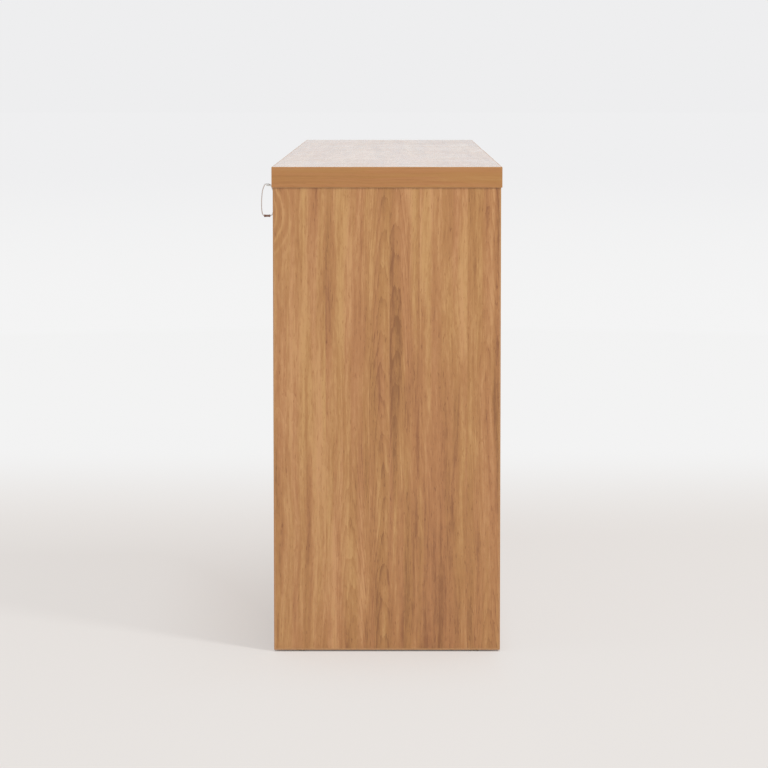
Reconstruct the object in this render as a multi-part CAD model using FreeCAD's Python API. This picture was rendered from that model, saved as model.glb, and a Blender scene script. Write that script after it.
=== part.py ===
"""A low office sideboard with two hinged doors and three drawers, in millimetres.

The origin lies on the floor, midway along the length and midway through the
depth of the top board. X runs along the length, the fronts face -Y, and Z is up.
"""

import FreeCAD, Part
import math
import os

# Overall size
length = 1800.0
depth = 400.0
height = 850.0

# Boards and edge bands
top_thickness = 36.0
end_thickness = 25.0
board_thickness = 18.0
front_thickness = 18.0
back_thickness = 8.0
band_thickness = 2.0
band_radius = 1.2
end_overhang = 2.5
front_overhang = 2.0
back_overhang = 2.0
back_inset = 10.0
groove_depth = 8.0
groove_play = 0.5

# Foot of the case
glide_height = 3.0
glide_side = 16.0
glide_from_panel_edge = 45.0
plinth_height = 60.0
plinth_setback = 50.0

# Fronts
bay_count = 3
front_gap = 3.0
top_drawer_height = 160.0
deep_drawer_count = 2
bumper_thickness = 2.0
bumper_side = 6.0
bumper_gap = 0.2
bumper_from_end = 30.0

# Shelves and the pins that carry them
shelf_thickness = 18.0
shelf_setback = 22.0
shelf_play = 1.0
shelf_rise = 352.0
bore_radius = 2.5
bore_depth = 11.0
row_from_front = 37.0
pin_fit = 0.05
pin_plug_length = 9.5
pin_tongue_length = 8.0
pin_tongue_width = 8.0
pin_tongue_height = 5.5
pin_sides = 8

# Angles that fix the end panels to the top and the bottom
angle_thickness = 2.0
angle_leg = 30.0
angle_width = 20.0
angle_from_middle = 110.0

# Concealed cup hinges
hinge_from_door_end = 100.0
cup_from_edge = 21.5
cup_bore_radius = 17.5
cup_bore_depth = 13.0
cup_play = 0.1
cup_depth = 12.5
cup_wall = 1.0
cup_flange_thickness = 1.2
cup_flange_radius = 18.5
cup_flange_height = 60.0
cup_flange_width = 18.0
hinge_pin_radius = 1.5
hinge_pin_from_edge = 20.0
hinge_pin_from_face = 10.0
hinge_pin_fit = 0.05
link_length = 45.0
link_thickness = 2.0
link_width = 8.0
link_eye_radius = 3.0
link_shoe_sides = 6
link_rise = 6.0
link_arch_radius = 12.0
track_from_edge = 10.0
arm_front_clearance = 1.0
arm_length = 48.0
arm_thickness = 1.2
arm_depth = 14.2
arm_side_clearance = 1.0
arm_web_from_edge = 2.8
plate_setback = 10.0
plate_half_height = 26.0
plate_wing_width = 14.0
plate_wing_thickness = 2.5
plate_block_half_height = 6.0

# Cam locks on the doors
lock_from_free_edge = 43.0
lock_from_top_edge = 17.4
lock_collar_radius = 11.0
lock_collar_thickness = 2.0
lock_body_radius = 9.0
lock_body_sides = 8
lock_bore_play = 0.1
lock_nut_radius = 12.0
lock_nut_sides = 6
lock_nut_thickness = 4.0
plug_radius = 6.0
plug_fit = 0.05
plug_recess = 0.5
plug_tail = 3.5
plug_square = 7.0
lock_cam_thickness = 2.5
lock_cam_reach = 17.0
lock_cam_width = 14.0
lock_cam_clip = 4.0
lock_cam_fit = 0.1
strike_thickness = 2.0
strike_width = 24.0
strike_drop = 10.0
strike_foot = 18.0
strike_gap = 1.0

# Key, key ring and the sleeve that closes the ring
key_thickness = 2.2
key_blade_width = 8.0
key_blade_inside = 18.0
key_neck_width = 9.0
key_neck_length = 14.0
key_bow_radius = 12.0
key_tip_from_face = 38.8
key_hole_radius = 3.5
key_hole_from_tip = 7.9
key_notch = 1.6
key_notch_shares = [0.25, 0.45, 0.7]
key_play = 0.2
ring_wire_radius = 1.0
ring_sides = 6
ring_steps = 3
ring_play = 0.7
ring_width = 27.0
ring_drop = 62.3
sleeve_radius = 2.5
sleeve_length = 12.0
sleeve_fit = 0.05
sleeve_sides = 8

# Outline of the hanging ring as shares of its width and of its drop, from the crest
ring_corner_shares = [(-0.205, 0.0), (0.205, 0.0), (0.452, 0.225), (0.440, 0.867),
                      (0.350, 1.0), (-0.285, 1.0), (-0.530, 0.754), (-0.495, 0.321)]
ring_bend_shares = [0.17, 0.17, 0.27, 0.13, 0.085, 0.085, 0.26, 0.26]

# Pulls
pull_centres = 128.0
pull_projection = 25.0
pull_thickness = 5.0
pull_width = 12.0
pull_bend_radius = 9.0
pull_from_free_edge = 43.0
pull_below_lock = 230.0

# Drawers and their runners
box_thickness = 12.0
box_depth = 340.0
box_below_front_top = 35.0
box_above_front_foot = 25.0
box_bottom_thickness = 8.0
box_bottom_rise = 10.0
box_groove_depth = 6.0
box_groove_play = 0.3
runner_space = 12.7
runner_length = 350.0
runner_front_gap = 2.0
runner_thickness = 1.5
runner_play = 0.3
runner_half_height = 22.5
runner_rise = 34.0
outer_runner_depth = 10.5

# Small allowances for cuts and for finding edges
overrun = 5.0
same_place = 0.001

# Places worked out from the sizes
end_outer_x = length / 2 - end_overhang
end_inner_x = end_outer_x - end_thickness
front_width = (2 * end_inner_x - (bay_count + 1) * front_gap) / bay_count
partition_x = (front_width + front_gap) / 2
bay_side_x = partition_x + board_thickness / 2
drawer_bay_x = partition_x - board_thickness / 2
hinge_edge_x = end_inner_x - front_gap
free_edge_x = partition_x + front_gap / 2
bumper_x = (free_edge_x + bay_side_x) / 2

face_y = front_overhang - depth / 2
front_back_y = face_y + front_thickness
case_front_y = front_back_y + bumper_thickness
rear_y = depth / 2 - back_overhang
back_rear_y = rear_y - back_inset
back_front_y = back_rear_y - back_thickness
front_plinth_y = face_y + plinth_setback
rear_plinth_y = back_front_y - board_thickness

foot_z = glide_height
plinth_top_z = foot_z + plinth_height
floor_top_z = plinth_top_z + board_thickness
top_under_z = height - top_thickness
fronts_low_z = plinth_top_z
fronts_top_z = top_under_z - front_gap
shelf_under_z = floor_top_z + shelf_rise
hinge_heights = [fronts_low_z + hinge_from_door_end, fronts_top_z - hinge_from_door_end]
angle_rows_y = [-angle_from_middle, angle_from_middle]
shelf_rows_y = [case_front_y + row_from_front, back_front_y - row_from_front]

pin_x = hinge_edge_x - hinge_pin_from_edge
pin_y = face_y + hinge_pin_from_face
cup_x = hinge_edge_x - cup_from_edge
link_lean = math.asin((hinge_pin_from_edge - track_from_edge) / link_length)
arm_front_y = front_back_y + cup_flange_thickness + arm_front_clearance
arm_web_x = hinge_edge_x - arm_web_from_edge
arm_half_height = link_width / 2 + arm_side_clearance + arm_thickness

lock_x = free_edge_x + lock_from_free_edge
lock_z = fronts_top_z - lock_from_top_edge
lock_front_y = face_y - lock_collar_thickness
lock_body_back_y = front_back_y + lock_nut_thickness
plug_back_y = lock_body_back_y + plug_tail
lock_cam_y = plug_back_y

key_tip_y = face_y - key_tip_from_face
key_hole_y = key_tip_y + key_hole_from_tip
rim_y = (key_tip_y + key_hole_y - key_hole_radius) / 2
ring_crest_z = lock_z + key_thickness / 2 + ring_play + ring_wire_radius

pull_x = free_edge_x + pull_from_free_edge
pull_z = lock_z - pull_below_lock

box_outer_x = drawer_bay_x - runner_space
box_inner_x = box_outer_x - box_thickness
runner_front_y = case_front_y + runner_front_gap
middle_half_height = runner_half_height - runner_thickness - runner_play
inner_half_height = middle_half_height - runner_thickness - runner_play
deep_drawers_height = fronts_top_z - fronts_low_z - top_drawer_height - deep_drawer_count * front_gap
deep_drawer_height = deep_drawers_height / deep_drawer_count


def block(low, high):
    """Returns the box between two corners."""
    size = [high[axis] - low[axis] for axis in range(3)]
    return Part.makeBox(size[0], size[1], size[2], FreeCAD.Vector(*low))


def rod(start, direction, reach, radius):
    """Returns a cylinder from a point along a direction."""
    return Part.makeCylinder(radius, reach, FreeCAD.Vector(*start), FreeCAD.Vector(*direction))


def prism(start, direction, reach, radius, sides):
    """Returns a bar with equal flats along a direction, its corners on the radius."""
    corners = []
    for step in range(sides + 1):
        angle = 2 * math.pi * step / sides
        corners.append(FreeCAD.Vector(radius * math.cos(angle), radius * math.sin(angle), 0))
    bar = Part.Face(Part.makePolygon(corners)).extrude(FreeCAD.Vector(0, 0, reach))
    turn = FreeCAD.Rotation(FreeCAD.Vector(0, 0, 1), FreeCAD.Vector(*direction))
    bar.Placement = FreeCAD.Placement(FreeCAD.Vector(*start), turn)
    return bar


def mirrored(shape):
    """Returns the same piece on the other side of the sideboard's middle."""
    return shape.mirror(FreeCAD.Vector(0, 0, 0), FreeCAD.Vector(1, 0, 0))


def fused(shapes):
    """Returns one solid made of several that meet."""
    whole = shapes[0].multiFuse(shapes[1:]).removeSplitter()
    return whole.Solids[0]


def cut(shape, tools):
    """Returns a solid with the tools taken out of it."""
    return shape.cut(Part.makeCompound(tools)).Solids[0]


def edges_at(shape, places):
    """Returns the edges that lie whole at each given (axis, value)."""
    found = []
    for edge in shape.Edges:
        corners = [tuple(vertex.Point) for vertex in edge.Vertexes]
        if all(abs(corner[axis] - value) < same_place for axis, value in places for corner in corners):
            found.append(edge)
    return found


def rounded(shape, radius, groups):
    """Rounds each group of edges, given as lists of (axis, value)."""
    edges = [edge for places in groups for edge in edges_at(shape, places)]
    return shape.makeFillet(radius, edges)


def save(name, pieces):
    """Writes one sub-part; a list of pieces becomes a group of solids."""
    shape = pieces[0] if len(pieces) == 1 else Part.makeCompound(pieces)
    shape.exportStep("parts/" + name + ".step")


# Case boards

def shelf_bores(face_x, inward):
    """Returns the bores for the shelf pins in one upright face."""
    x = face_x - inward * overrun
    z = shelf_under_z - pin_tongue_height / 2
    return [rod((x, y, z), (inward, 0, 0), bore_depth + overrun, bore_radius) for y in shelf_rows_y]


def make_top_board():
    """The thick core of the top, without its edge bands."""
    low = (band_thickness - length / 2, band_thickness - depth / 2, top_under_z)
    return block(low, (-low[0], -low[1], height))


def make_top_bands():
    """Four strips round the top, rounded along their outer edges."""
    x = length / 2
    y = depth / 2
    strips = []
    for side in (-1, 1):
        outer = side * y
        inner = side * (y - band_thickness)
        strip = block((-x, min(outer, inner), top_under_z), (x, max(outer, inner), height))
        edges = [[(1, outer), (2, height)], [(1, outer), (2, top_under_z)]]
        strips.append(rounded(strip, band_radius, edges))
    for side in (-1, 1):
        outer = side * x
        inner = side * (x - band_thickness)
        low = (min(outer, inner), band_thickness - y, top_under_z)
        strip = block(low, (max(outer, inner), y - band_thickness, height))
        edges = [[(0, outer), (2, height)], [(0, outer), (2, top_under_z)]]
        strips.append(rounded(strip, band_radius, edges))
    return strips


def make_right_end_panel():
    """The core of the right end panel, with its groove and bores."""
    low = (end_inner_x, face_y + band_thickness, foot_z + band_thickness)
    panel = block(low, (end_outer_x, rear_y - band_thickness, top_under_z))
    groove_low = (end_inner_x - overrun, back_front_y, plinth_top_z)
    tools = [block(groove_low, (end_inner_x + groove_depth, back_rear_y, top_under_z + overrun))]
    return cut(panel, tools + shelf_bores(end_inner_x, 1))


def make_right_end_bands():
    """The bands on the front, rear and foot edges of the right end panel."""
    front = block((end_inner_x, face_y, foot_z), (end_outer_x, face_y + band_thickness, top_under_z))
    front = rounded(front, band_radius, [[(0, end_outer_x), (1, face_y)], [(0, end_inner_x), (1, face_y)]])
    rear = block((end_inner_x, rear_y - band_thickness, foot_z), (end_outer_x, rear_y, top_under_z))
    rear = rounded(rear, band_radius, [[(0, end_outer_x), (1, rear_y)]])
    foot_low = (end_inner_x, face_y + band_thickness, foot_z)
    foot = block(foot_low, (end_outer_x, rear_y - band_thickness, foot_z + band_thickness))
    return [front, rear, foot]


def make_bottom_panel():
    """The floor of the three bays."""
    low = (-end_inner_x, case_front_y, plinth_top_z)
    return block(low, (end_inner_x, back_front_y, floor_top_z))


def make_right_partition():
    """The upright between the drawers and the right cupboard."""
    low = (drawer_bay_x, case_front_y, floor_top_z)
    panel = block(low, (bay_side_x, back_front_y, top_under_z))
    return cut(panel, shelf_bores(bay_side_x, -1))


def make_back_panel():
    """The thin back, held in the grooves of the end panels."""
    reach = end_inner_x + groove_depth - groove_play
    return block((-reach, back_front_y, plinth_top_z), (reach, back_rear_y, top_under_z))


def make_plinth(front_y):
    """One board of the recessed plinth."""
    return block((-end_inner_x, front_y, foot_z), (end_inner_x, front_y + board_thickness, plinth_top_z))


def make_plinth_cross():
    """The short board that ties the two plinth boards together at mid-length."""
    low = (-board_thickness / 2, front_plinth_y + board_thickness, foot_z)
    return block(low, (board_thickness / 2, rear_plinth_y, plinth_top_z))


def make_right_shelf():
    """The shelf of the right cupboard, which lifts off its pins."""
    low = (bay_side_x + shelf_play, case_front_y + shelf_setback, shelf_under_z)
    high = (end_inner_x - shelf_play, back_front_y - shelf_play, shelf_under_z + shelf_thickness)
    return block(low, high)


def glide(x, y):
    """One square glide, nailed up from below."""
    half = glide_side / 2
    return block((x - half, y - half, 0), (x + half, y + half, glide_height))


def make_glides():
    """Thin glides under the end panels and the plinth, one of them at the origin."""
    glides = []
    end_rows = [face_y + glide_from_panel_edge, rear_y - glide_from_panel_edge]
    plinth_rows = [front_plinth_y + board_thickness / 2, rear_plinth_y + board_thickness / 2]
    for side in (-1, 1):
        for x, rows in ((end_inner_x + end_thickness / 2, end_rows), (partition_x, plinth_rows)):
            for y in rows:
                glides.append(glide(side * x, y))
    glides.append(glide(0, 0))
    return glides


# Small fittings of the case

def shelf_pin(face_x, into_bay, row_y):
    """One shelf pin: a plug with flats in the upright and a tongue under the shelf."""
    middle_z = shelf_under_z - pin_tongue_height / 2
    start = (face_x - into_bay * pin_plug_length, row_y, middle_z)
    plug = prism(start, (into_bay, 0, 0), pin_plug_length, bore_radius - pin_fit, pin_sides)
    ends = sorted([face_x, face_x + into_bay * pin_tongue_length])
    low = (ends[0], row_y - pin_tongue_width / 2, shelf_under_z - pin_tongue_height)
    tongue = block(low, (ends[1], row_y + pin_tongue_width / 2, shelf_under_z))
    return fused([plug, tongue])


def make_right_shelf_pins():
    """The four pins of the right shelf."""
    uprights = ((end_inner_x, -1), (bay_side_x, 1))
    return [shelf_pin(x, into_bay, y) for x, into_bay in uprights for y in shelf_rows_y]


def make_right_angles():
    """Steel angles under the top and under the bottom, against the right end panel."""
    angles = []
    for under_z in (top_under_z, plinth_top_z):
        for y in angle_rows_y:
            front_y = y - angle_width / 2
            upright_low = (end_inner_x - angle_thickness, front_y, under_z - angle_leg)
            upright = block(upright_low, (end_inner_x, front_y + angle_width, under_z))
            level_low = (end_inner_x - angle_leg, front_y, under_z - angle_thickness)
            level = block(level_low, (end_inner_x, front_y + angle_width, under_z))
            angles.append(fused([upright, level]))
    return angles


def make_bumpers():
    """Felt pads on the front edges of the partitions, behind the free edges of the doors."""
    pads = []
    half = bumper_side / 2
    front_y = front_back_y + bumper_gap
    for side in (-1, 1):
        x = side * bumper_x
        for z in (floor_top_z + bumper_from_end, fronts_top_z - bumper_from_end):
            pads.append(block((x - half, front_y, z - half), (x + half, case_front_y, z + half)))
    return pads


def make_right_strike():
    """The angle under the top that the right lock's cam turns behind."""
    leg_back_y = lock_cam_y - strike_gap
    leg_front_y = leg_back_y - strike_thickness
    left = lock_x - strike_width / 2
    right = lock_x + strike_width / 2
    leg = block((left, leg_front_y, top_under_z - strike_drop), (right, leg_back_y, top_under_z))
    foot_low = (left, leg_back_y, top_under_z - strike_thickness)
    foot = block(foot_low, (right, leg_back_y + strike_foot, top_under_z))
    return fused([leg, foot])


# Concealed hinges

def make_right_hinge_arm(z):
    """A channel that is open to the cupboard, in which the link's shoe travels."""
    outer_low = (arm_web_x - arm_depth, arm_front_y, z - arm_half_height)
    outer = block(outer_low, (arm_web_x, arm_front_y + arm_length, z + arm_half_height))
    back_y = arm_front_y + arm_length
    half_inside = arm_half_height - arm_thickness
    inner_low = (arm_web_x - arm_depth - overrun, arm_front_y - overrun, z - half_inside)
    inner_high = (arm_web_x - arm_thickness, back_y + overrun, z + half_inside)
    return cut(outer, [block(inner_low, inner_high)])


def make_right_hinge_plate(z):
    """The cross-shaped plate between the end panel and the hinge arm."""
    back_y = arm_front_y + arm_length
    front_y = arm_front_y + plate_setback
    middle_y = (front_y + back_y) / 2
    spine_low = (arm_web_x, front_y, z - plate_block_half_height)
    spine = block(spine_low, (end_inner_x, back_y, z + plate_block_half_height))
    wing_low = (end_inner_x - plate_wing_thickness, middle_y - plate_wing_width / 2, z - plate_half_height)
    wing = block(wing_low, (end_inner_x, middle_y + plate_wing_width / 2, z + plate_half_height))
    return fused([spine, wing])


def make_right_hinge_cup(z):
    """The pressed cup and its flange."""
    closed_y = front_back_y - cup_depth
    bowl = rod((cup_x, closed_y, z), (0, 1, 0), cup_depth, cup_bore_radius - cup_play)
    disc = rod((cup_x, front_back_y, z), (0, 1, 0), cup_flange_thickness, cup_flange_radius)
    ear_low = (cup_x - cup_flange_width / 2, front_back_y, z - cup_flange_height / 2)
    ear_high = (cup_x + cup_flange_width / 2, front_back_y + cup_flange_thickness, z + cup_flange_height / 2)
    inside_radius = cup_bore_radius - cup_play - cup_wall
    inside = rod((cup_x, closed_y + cup_wall, z), (0, 1, 0), cup_depth + overrun, inside_radius)
    return cut(fused([bowl, disc, block(ear_low, ear_high)]), [inside])


def pin_half_length():
    """Half the hinge pin: it reaches across the cup to its wall."""
    inside_radius = cup_bore_radius - cup_play - cup_wall
    furthest = abs(pin_x - cup_x) + hinge_pin_radius
    return math.sqrt(inside_radius ** 2 - furthest ** 2) - pin_fit


def make_right_hinge_pin(z):
    """The pin that the link turns on."""
    half = pin_half_length()
    return rod((pin_x, pin_y, z - half), (0, 0, 1), 2 * half, hinge_pin_radius)


def link_outline():
    """The goose-necked strip: up out of the cup, over its rim and on to the shoe."""
    half = link_thickness / 2
    crest = FreeCAD.Vector(link_arch_radius, link_rise, 0)
    reach = FreeCAD.Vector(link_length, 0, 0) - crest
    leave = math.atan2(reach.y, reach.x) + math.acos(link_arch_radius / reach.Length)
    top = (math.pi + leave) / 2
    outer = link_arch_radius + half
    inner = link_arch_radius - half

    def on_arch(radius, angle):
        return crest + FreeCAD.Vector(radius * math.cos(angle), radius * math.sin(angle), 0)

    side = FreeCAD.Vector(half * math.cos(leave), half * math.sin(leave), 0)
    far = FreeCAD.Vector(link_length, 0, 0)
    root_out = FreeCAD.Vector(-half, 0, 0)
    root_in = FreeCAD.Vector(half, 0, 0)
    edges = [
        Part.LineSegment(root_out, on_arch(outer, math.pi)).toShape(),
        Part.Arc(on_arch(outer, math.pi), on_arch(outer, top), on_arch(outer, leave)).toShape(),
        Part.LineSegment(on_arch(outer, leave), far + side).toShape(),
        Part.LineSegment(far + side, far - side).toShape(),
        Part.LineSegment(far - side, on_arch(inner, leave)).toShape(),
        Part.Arc(on_arch(inner, leave), on_arch(inner, top), on_arch(inner, math.pi)).toShape(),
        Part.LineSegment(on_arch(inner, math.pi), root_in).toShape(),
        Part.LineSegment(root_in, root_out).toShape(),
    ]
    return Part.Face(Part.Wire(edges))


def make_right_hinge_link(z):
    """One hinge link: the eye on the pin, the goose-necked strip and the shoe in the arm."""
    strip = link_outline().extrude(FreeCAD.Vector(0, 0, link_width))
    eye = rod((0, 0, 0), (0, 0, 1), link_width, link_eye_radius)
    shoe = prism((link_length, 0, 0), (0, 0, 1), link_width, link_eye_radius, link_shoe_sides)
    bore = rod((0, 0, -overrun), (0, 0, 1), link_width + 2 * overrun, hinge_pin_radius + hinge_pin_fit)
    link = cut(fused([strip, eye, shoe]), [bore])
    link.rotate(FreeCAD.Vector(0, 0, 0), FreeCAD.Vector(0, 0, 1), 90 - math.degrees(link_lean))
    link.translate(FreeCAD.Vector(pin_x, pin_y, z - link_width / 2))
    return link


# Doors

def make_right_door():
    """The right door, bored for its two hinge cups and its lock."""
    panel = block((free_edge_x, face_y, fronts_low_z), (hinge_edge_x, front_back_y, fronts_top_z))
    outline = [[(1, face_y), (0, free_edge_x)], [(1, face_y), (0, hinge_edge_x)],
               [(1, face_y), (2, fronts_low_z)], [(1, face_y), (2, fronts_top_z)]]
    panel = rounded(panel, band_radius, outline)
    tools = []
    for z in hinge_heights:
        start = (cup_x, front_back_y - cup_bore_depth, z)
        tools.append(rod(start, (0, 1, 0), cup_bore_depth + overrun, cup_bore_radius))
    lock_start = (lock_x, face_y - overrun, lock_z)
    tools.append(rod(lock_start, (0, 1, 0), front_thickness + 2 * overrun, lock_body_radius + lock_bore_play))
    return cut(panel, tools)


def make_pull(centre, upright):
    """A pull bent from flat bar, standing on a front at both ends."""
    half = (pull_centres + pull_thickness) / 2
    half_inside = half - pull_thickness
    grip_y = pull_thickness - pull_projection
    bar = block((-half, -pull_projection, -pull_width / 2), (half, 0, pull_width / 2))
    bar = cut(bar, [block((-half_inside, grip_y, -pull_width), (half_inside, overrun, pull_width))])
    outer_bends = [[(0, side * half), (1, -pull_projection)] for side in (-1, 1)]
    inner_bends = [[(0, side * half_inside), (1, grip_y)] for side in (-1, 1)]
    bar = rounded(bar, pull_bend_radius, outer_bends)
    bar = rounded(bar, pull_bend_radius - pull_thickness, inner_bends)
    if upright:
        bar.rotate(FreeCAD.Vector(0, 0, 0), FreeCAD.Vector(0, 1, 0), 90)
    bar.translate(FreeCAD.Vector(*centre))
    return bar


# Locks, keys and key ring

def make_right_lock_housing():
    """The lock's collar, its barrel with flats, and the nut behind the door."""
    collar = rod((lock_x, lock_front_y, lock_z), (0, 1, 0), lock_collar_thickness, lock_collar_radius)
    barrel_reach = lock_body_back_y - face_y
    barrel = prism((lock_x, face_y, lock_z), (0, 1, 0), barrel_reach, lock_body_radius, lock_body_sides)
    nut_start = (lock_x, front_back_y, lock_z)
    nut = prism(nut_start, (0, 1, 0), lock_nut_thickness, lock_nut_radius, lock_nut_sides)
    bore_start = (lock_x, lock_front_y - overrun, lock_z)
    bore_reach = lock_body_back_y - lock_front_y + 2 * overrun
    bore = rod(bore_start, (0, 1, 0), bore_reach, plug_radius + plug_fit)
    return cut(fused([collar, barrel, nut]), [bore])


def square_bar(half_side, start_y, end_y):
    """A square bar on the lock's axis."""
    low = (lock_x - half_side, start_y, lock_z - half_side)
    return block(low, (lock_x + half_side, end_y, lock_z + half_side))


def make_right_lock_plug():
    """The plug that the key turns, with its level keyway and the square for the cam."""
    front_y = lock_front_y + plug_recess
    plug = rod((lock_x, front_y, lock_z), (0, 1, 0), plug_back_y - front_y, plug_radius)
    square = square_bar(plug_square / 2, plug_back_y - same_place, lock_cam_y + lock_cam_thickness)
    half_width = key_blade_width / 2 + key_play
    half_height = key_thickness / 2 + key_play
    slot_low = (lock_x - half_width, front_y - overrun, lock_z - half_height)
    slot_high = (lock_x + half_width, lock_front_y + key_blade_inside + key_play, lock_z + half_height)
    return cut(fused([plug, square]), [block(slot_low, slot_high)])


def make_right_lock_cam():
    """The cam behind the door, lying level while the door is unlocked."""
    back_y = lock_cam_y + lock_cam_thickness
    half = lock_cam_width / 2
    bar = block((lock_x - half, lock_cam_y, lock_z - half), (lock_x + lock_cam_reach, back_y, lock_z + half))
    corners = [[(0, lock_x - half), (2, lock_z - half)], [(0, lock_x - half), (2, lock_z + half)]]
    edges = [edge for places in corners for edge in edges_at(bar, places)]
    bar = bar.makeChamfer(lock_cam_clip, edges)
    hole = square_bar(plug_square / 2 + lock_cam_fit, lock_cam_y - overrun, back_y + overrun)
    return cut(bar, [hole])


def make_key():
    """The flat key: a round bow with a hole, a neck and a notched blade."""
    bottom_z = lock_z - key_thickness / 2
    bow = rod((lock_x, key_tip_y + key_bow_radius, bottom_z), (0, 0, 1), key_thickness, key_bow_radius)
    neck_low = (lock_x - key_neck_width / 2, lock_front_y - key_neck_length, bottom_z)
    neck = block(neck_low, (lock_x + key_neck_width / 2, lock_front_y, bottom_z + key_thickness))
    blade_low = (lock_x - key_blade_width / 2, lock_front_y - key_notch, bottom_z)
    blade_high = (lock_x + key_blade_width / 2, lock_front_y + key_blade_inside, bottom_z + key_thickness)
    low_z = bottom_z - overrun
    high_z = bottom_z + key_thickness + overrun
    tools = [rod((lock_x, key_hole_y, low_z), (0, 0, 1), high_z - low_z, key_hole_radius)]
    edge_x = lock_x + key_blade_width / 2
    for share in key_notch_shares:
        front_y = lock_front_y + share * key_blade_inside
        notch_high = (edge_x + overrun, front_y + key_notch, high_z)
        tools.append(block((edge_x - key_notch, front_y, low_z), notch_high))
    return cut(fused([bow, neck, block(blade_low, blade_high)]), tools)


def ring_point(share):
    """A corner of the ring's outline, hung from the crest above the key's rim."""
    return FreeCAD.Vector(lock_x, rim_y - share[0] * ring_width, ring_crest_z - share[1] * ring_drop)


def ring_bend(index):
    """Points along the bend at one corner: an arc tangent to both of its runs."""
    corners = [ring_point(share) for share in ring_corner_shares]
    corner = corners[index]
    reach = ring_bend_shares[index] * ring_width
    before = (corners[index - 1] - corner).normalize()
    after = (corners[(index + 1) % len(corners)] - corner).normalize()
    half_inside = before.getAngle(after) / 2
    radius = reach * math.tan(half_inside)
    inward = (before + after).normalize()
    centre = corner + inward * (radius / math.sin(half_inside))
    across = (before - after).normalize()
    turn = math.pi / 2 - half_inside
    points = []
    for step in range(ring_steps + 1):
        angle = turn * (1 - 2 * step / ring_steps)
        points.append(centre - inward * (radius * math.cos(angle)) + across * (radius * math.sin(angle)))
    return points


def ring_section(before, point, after):
    """The corners of the wire's outline in the plane that halves the turn at a point."""
    incoming = (point - before).normalize()
    outgoing = (after - point).normalize()
    along = (incoming + outgoing).normalize()
    sideways = FreeCAD.Vector(1, 0, 0)
    out = along.cross(sideways)
    widening = 1 / math.cos(incoming.getAngle(outgoing) / 2)
    corners = []
    for side in range(ring_sides):
        angle = 2 * math.pi * (side + 0.5) / ring_sides
        outward = out * (ring_wire_radius * widening * math.cos(angle))
        corners.append(point + outward + sideways * (ring_wire_radius * math.sin(angle)))
    return corners


def make_key_ring():
    """The hanging wire ring: a wire with flats round a closed line of runs and bends."""
    line = []
    for index in range(len(ring_corner_shares)):
        line += ring_bend(index)
    count = len(line)
    sections = [ring_section(line[i - 1], line[i], line[(i + 1) % count]) for i in range(count)]
    faces = []
    for index, section in enumerate(sections):
        following = sections[(index + 1) % count]
        for side in range(ring_sides):
            other = (side + 1) % ring_sides
            outline = [section[side], section[other], following[other], following[side], section[side]]
            faces.append(Part.Face(Part.makePolygon(outline)))
    solid = Part.makeSolid(Part.makeShell(faces))
    return solid if solid.Volume > 0 else solid.reversed()


def make_ring_sleeve():
    """The pressed sleeve that closes the ring at its lowest run."""
    low = ring_point(ring_corner_shares[4])
    other = ring_point(ring_corner_shares[5])
    middle = (low + other) / 2
    front_y = middle.y - sleeve_length / 2
    outside = prism((lock_x, front_y, low.z), (0, 1, 0), sleeve_length, sleeve_radius, sleeve_sides)
    hole_start = (lock_x, front_y - overrun, low.z)
    hole = rod(hole_start, (0, 1, 0), sleeve_length + 2 * overrun, ring_wire_radius + sleeve_fit)
    return cut(outside, [hole])


# Drawers

def channel(web_x, depth_x, half_height, middle_z, front_y, opens):
    """A runner member: a channel whose web is at web_x and which opens along +X or -X."""
    back_y = front_y + runner_length
    far_x = web_x + opens * depth_x
    outer_x = sorted([web_x, far_x])
    low = (outer_x[0], front_y, middle_z - half_height)
    outer = block(low, (outer_x[1], back_y, middle_z + half_height))
    inner_x = sorted([web_x + opens * runner_thickness, far_x + opens * overrun])
    half_inside = half_height - runner_thickness
    inner_low = (inner_x[0], front_y - overrun, middle_z - half_inside)
    inner_high = (inner_x[1], back_y + overrun, middle_z + half_inside)
    return cut(outer, [block(inner_low, inner_high)])


def make_right_outer_runner(middle_z):
    """The runner member that is fixed to the partition."""
    return channel(drawer_bay_x, outer_runner_depth, runner_half_height, middle_z, runner_front_y, -1)


def make_right_middle_runner(middle_z):
    """The sliding member between the outer and the inner one."""
    web_x = drawer_bay_x - runner_thickness - runner_play
    reach = web_x - box_outer_x - runner_thickness - runner_play
    return channel(web_x, reach, middle_half_height, middle_z, runner_front_y, -1)


def make_right_inner_runner(middle_z):
    """The runner member on the side of the drawer."""
    reach = drawer_bay_x - 2 * (runner_thickness + runner_play) - box_outer_x
    return channel(box_outer_x, reach, inner_half_height, middle_z, runner_front_y, 1)


def make_drawer_front(low_z, high_z):
    """One drawer front with rounded edges."""
    x = front_width / 2
    panel = block((-x, face_y, low_z), (x, front_back_y, high_z))
    outline = [[(1, face_y), (0, -x)], [(1, face_y), (0, x)],
               [(1, face_y), (2, low_z)], [(1, face_y), (2, high_z)]]
    return rounded(panel, band_radius, outline)


def make_drawer_box(low_z, high_z):
    """The two sides, grooved for the bottom, and the back that stands on it."""
    back_y = front_back_y + box_depth
    groove_z = low_z + box_bottom_rise
    side = block((box_inner_x, front_back_y, low_z), (box_outer_x, back_y, high_z))
    groove_low = (box_inner_x - overrun, front_back_y - overrun, groove_z)
    groove_high = (box_inner_x + box_groove_depth, back_y + overrun, groove_z + box_bottom_thickness)
    side = cut(side, [block(groove_low, groove_high)])
    back_low = (-box_inner_x, back_y - box_thickness, groove_z + box_bottom_thickness)
    return [side, mirrored(side), block(back_low, (box_inner_x, back_y, high_z))]


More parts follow.
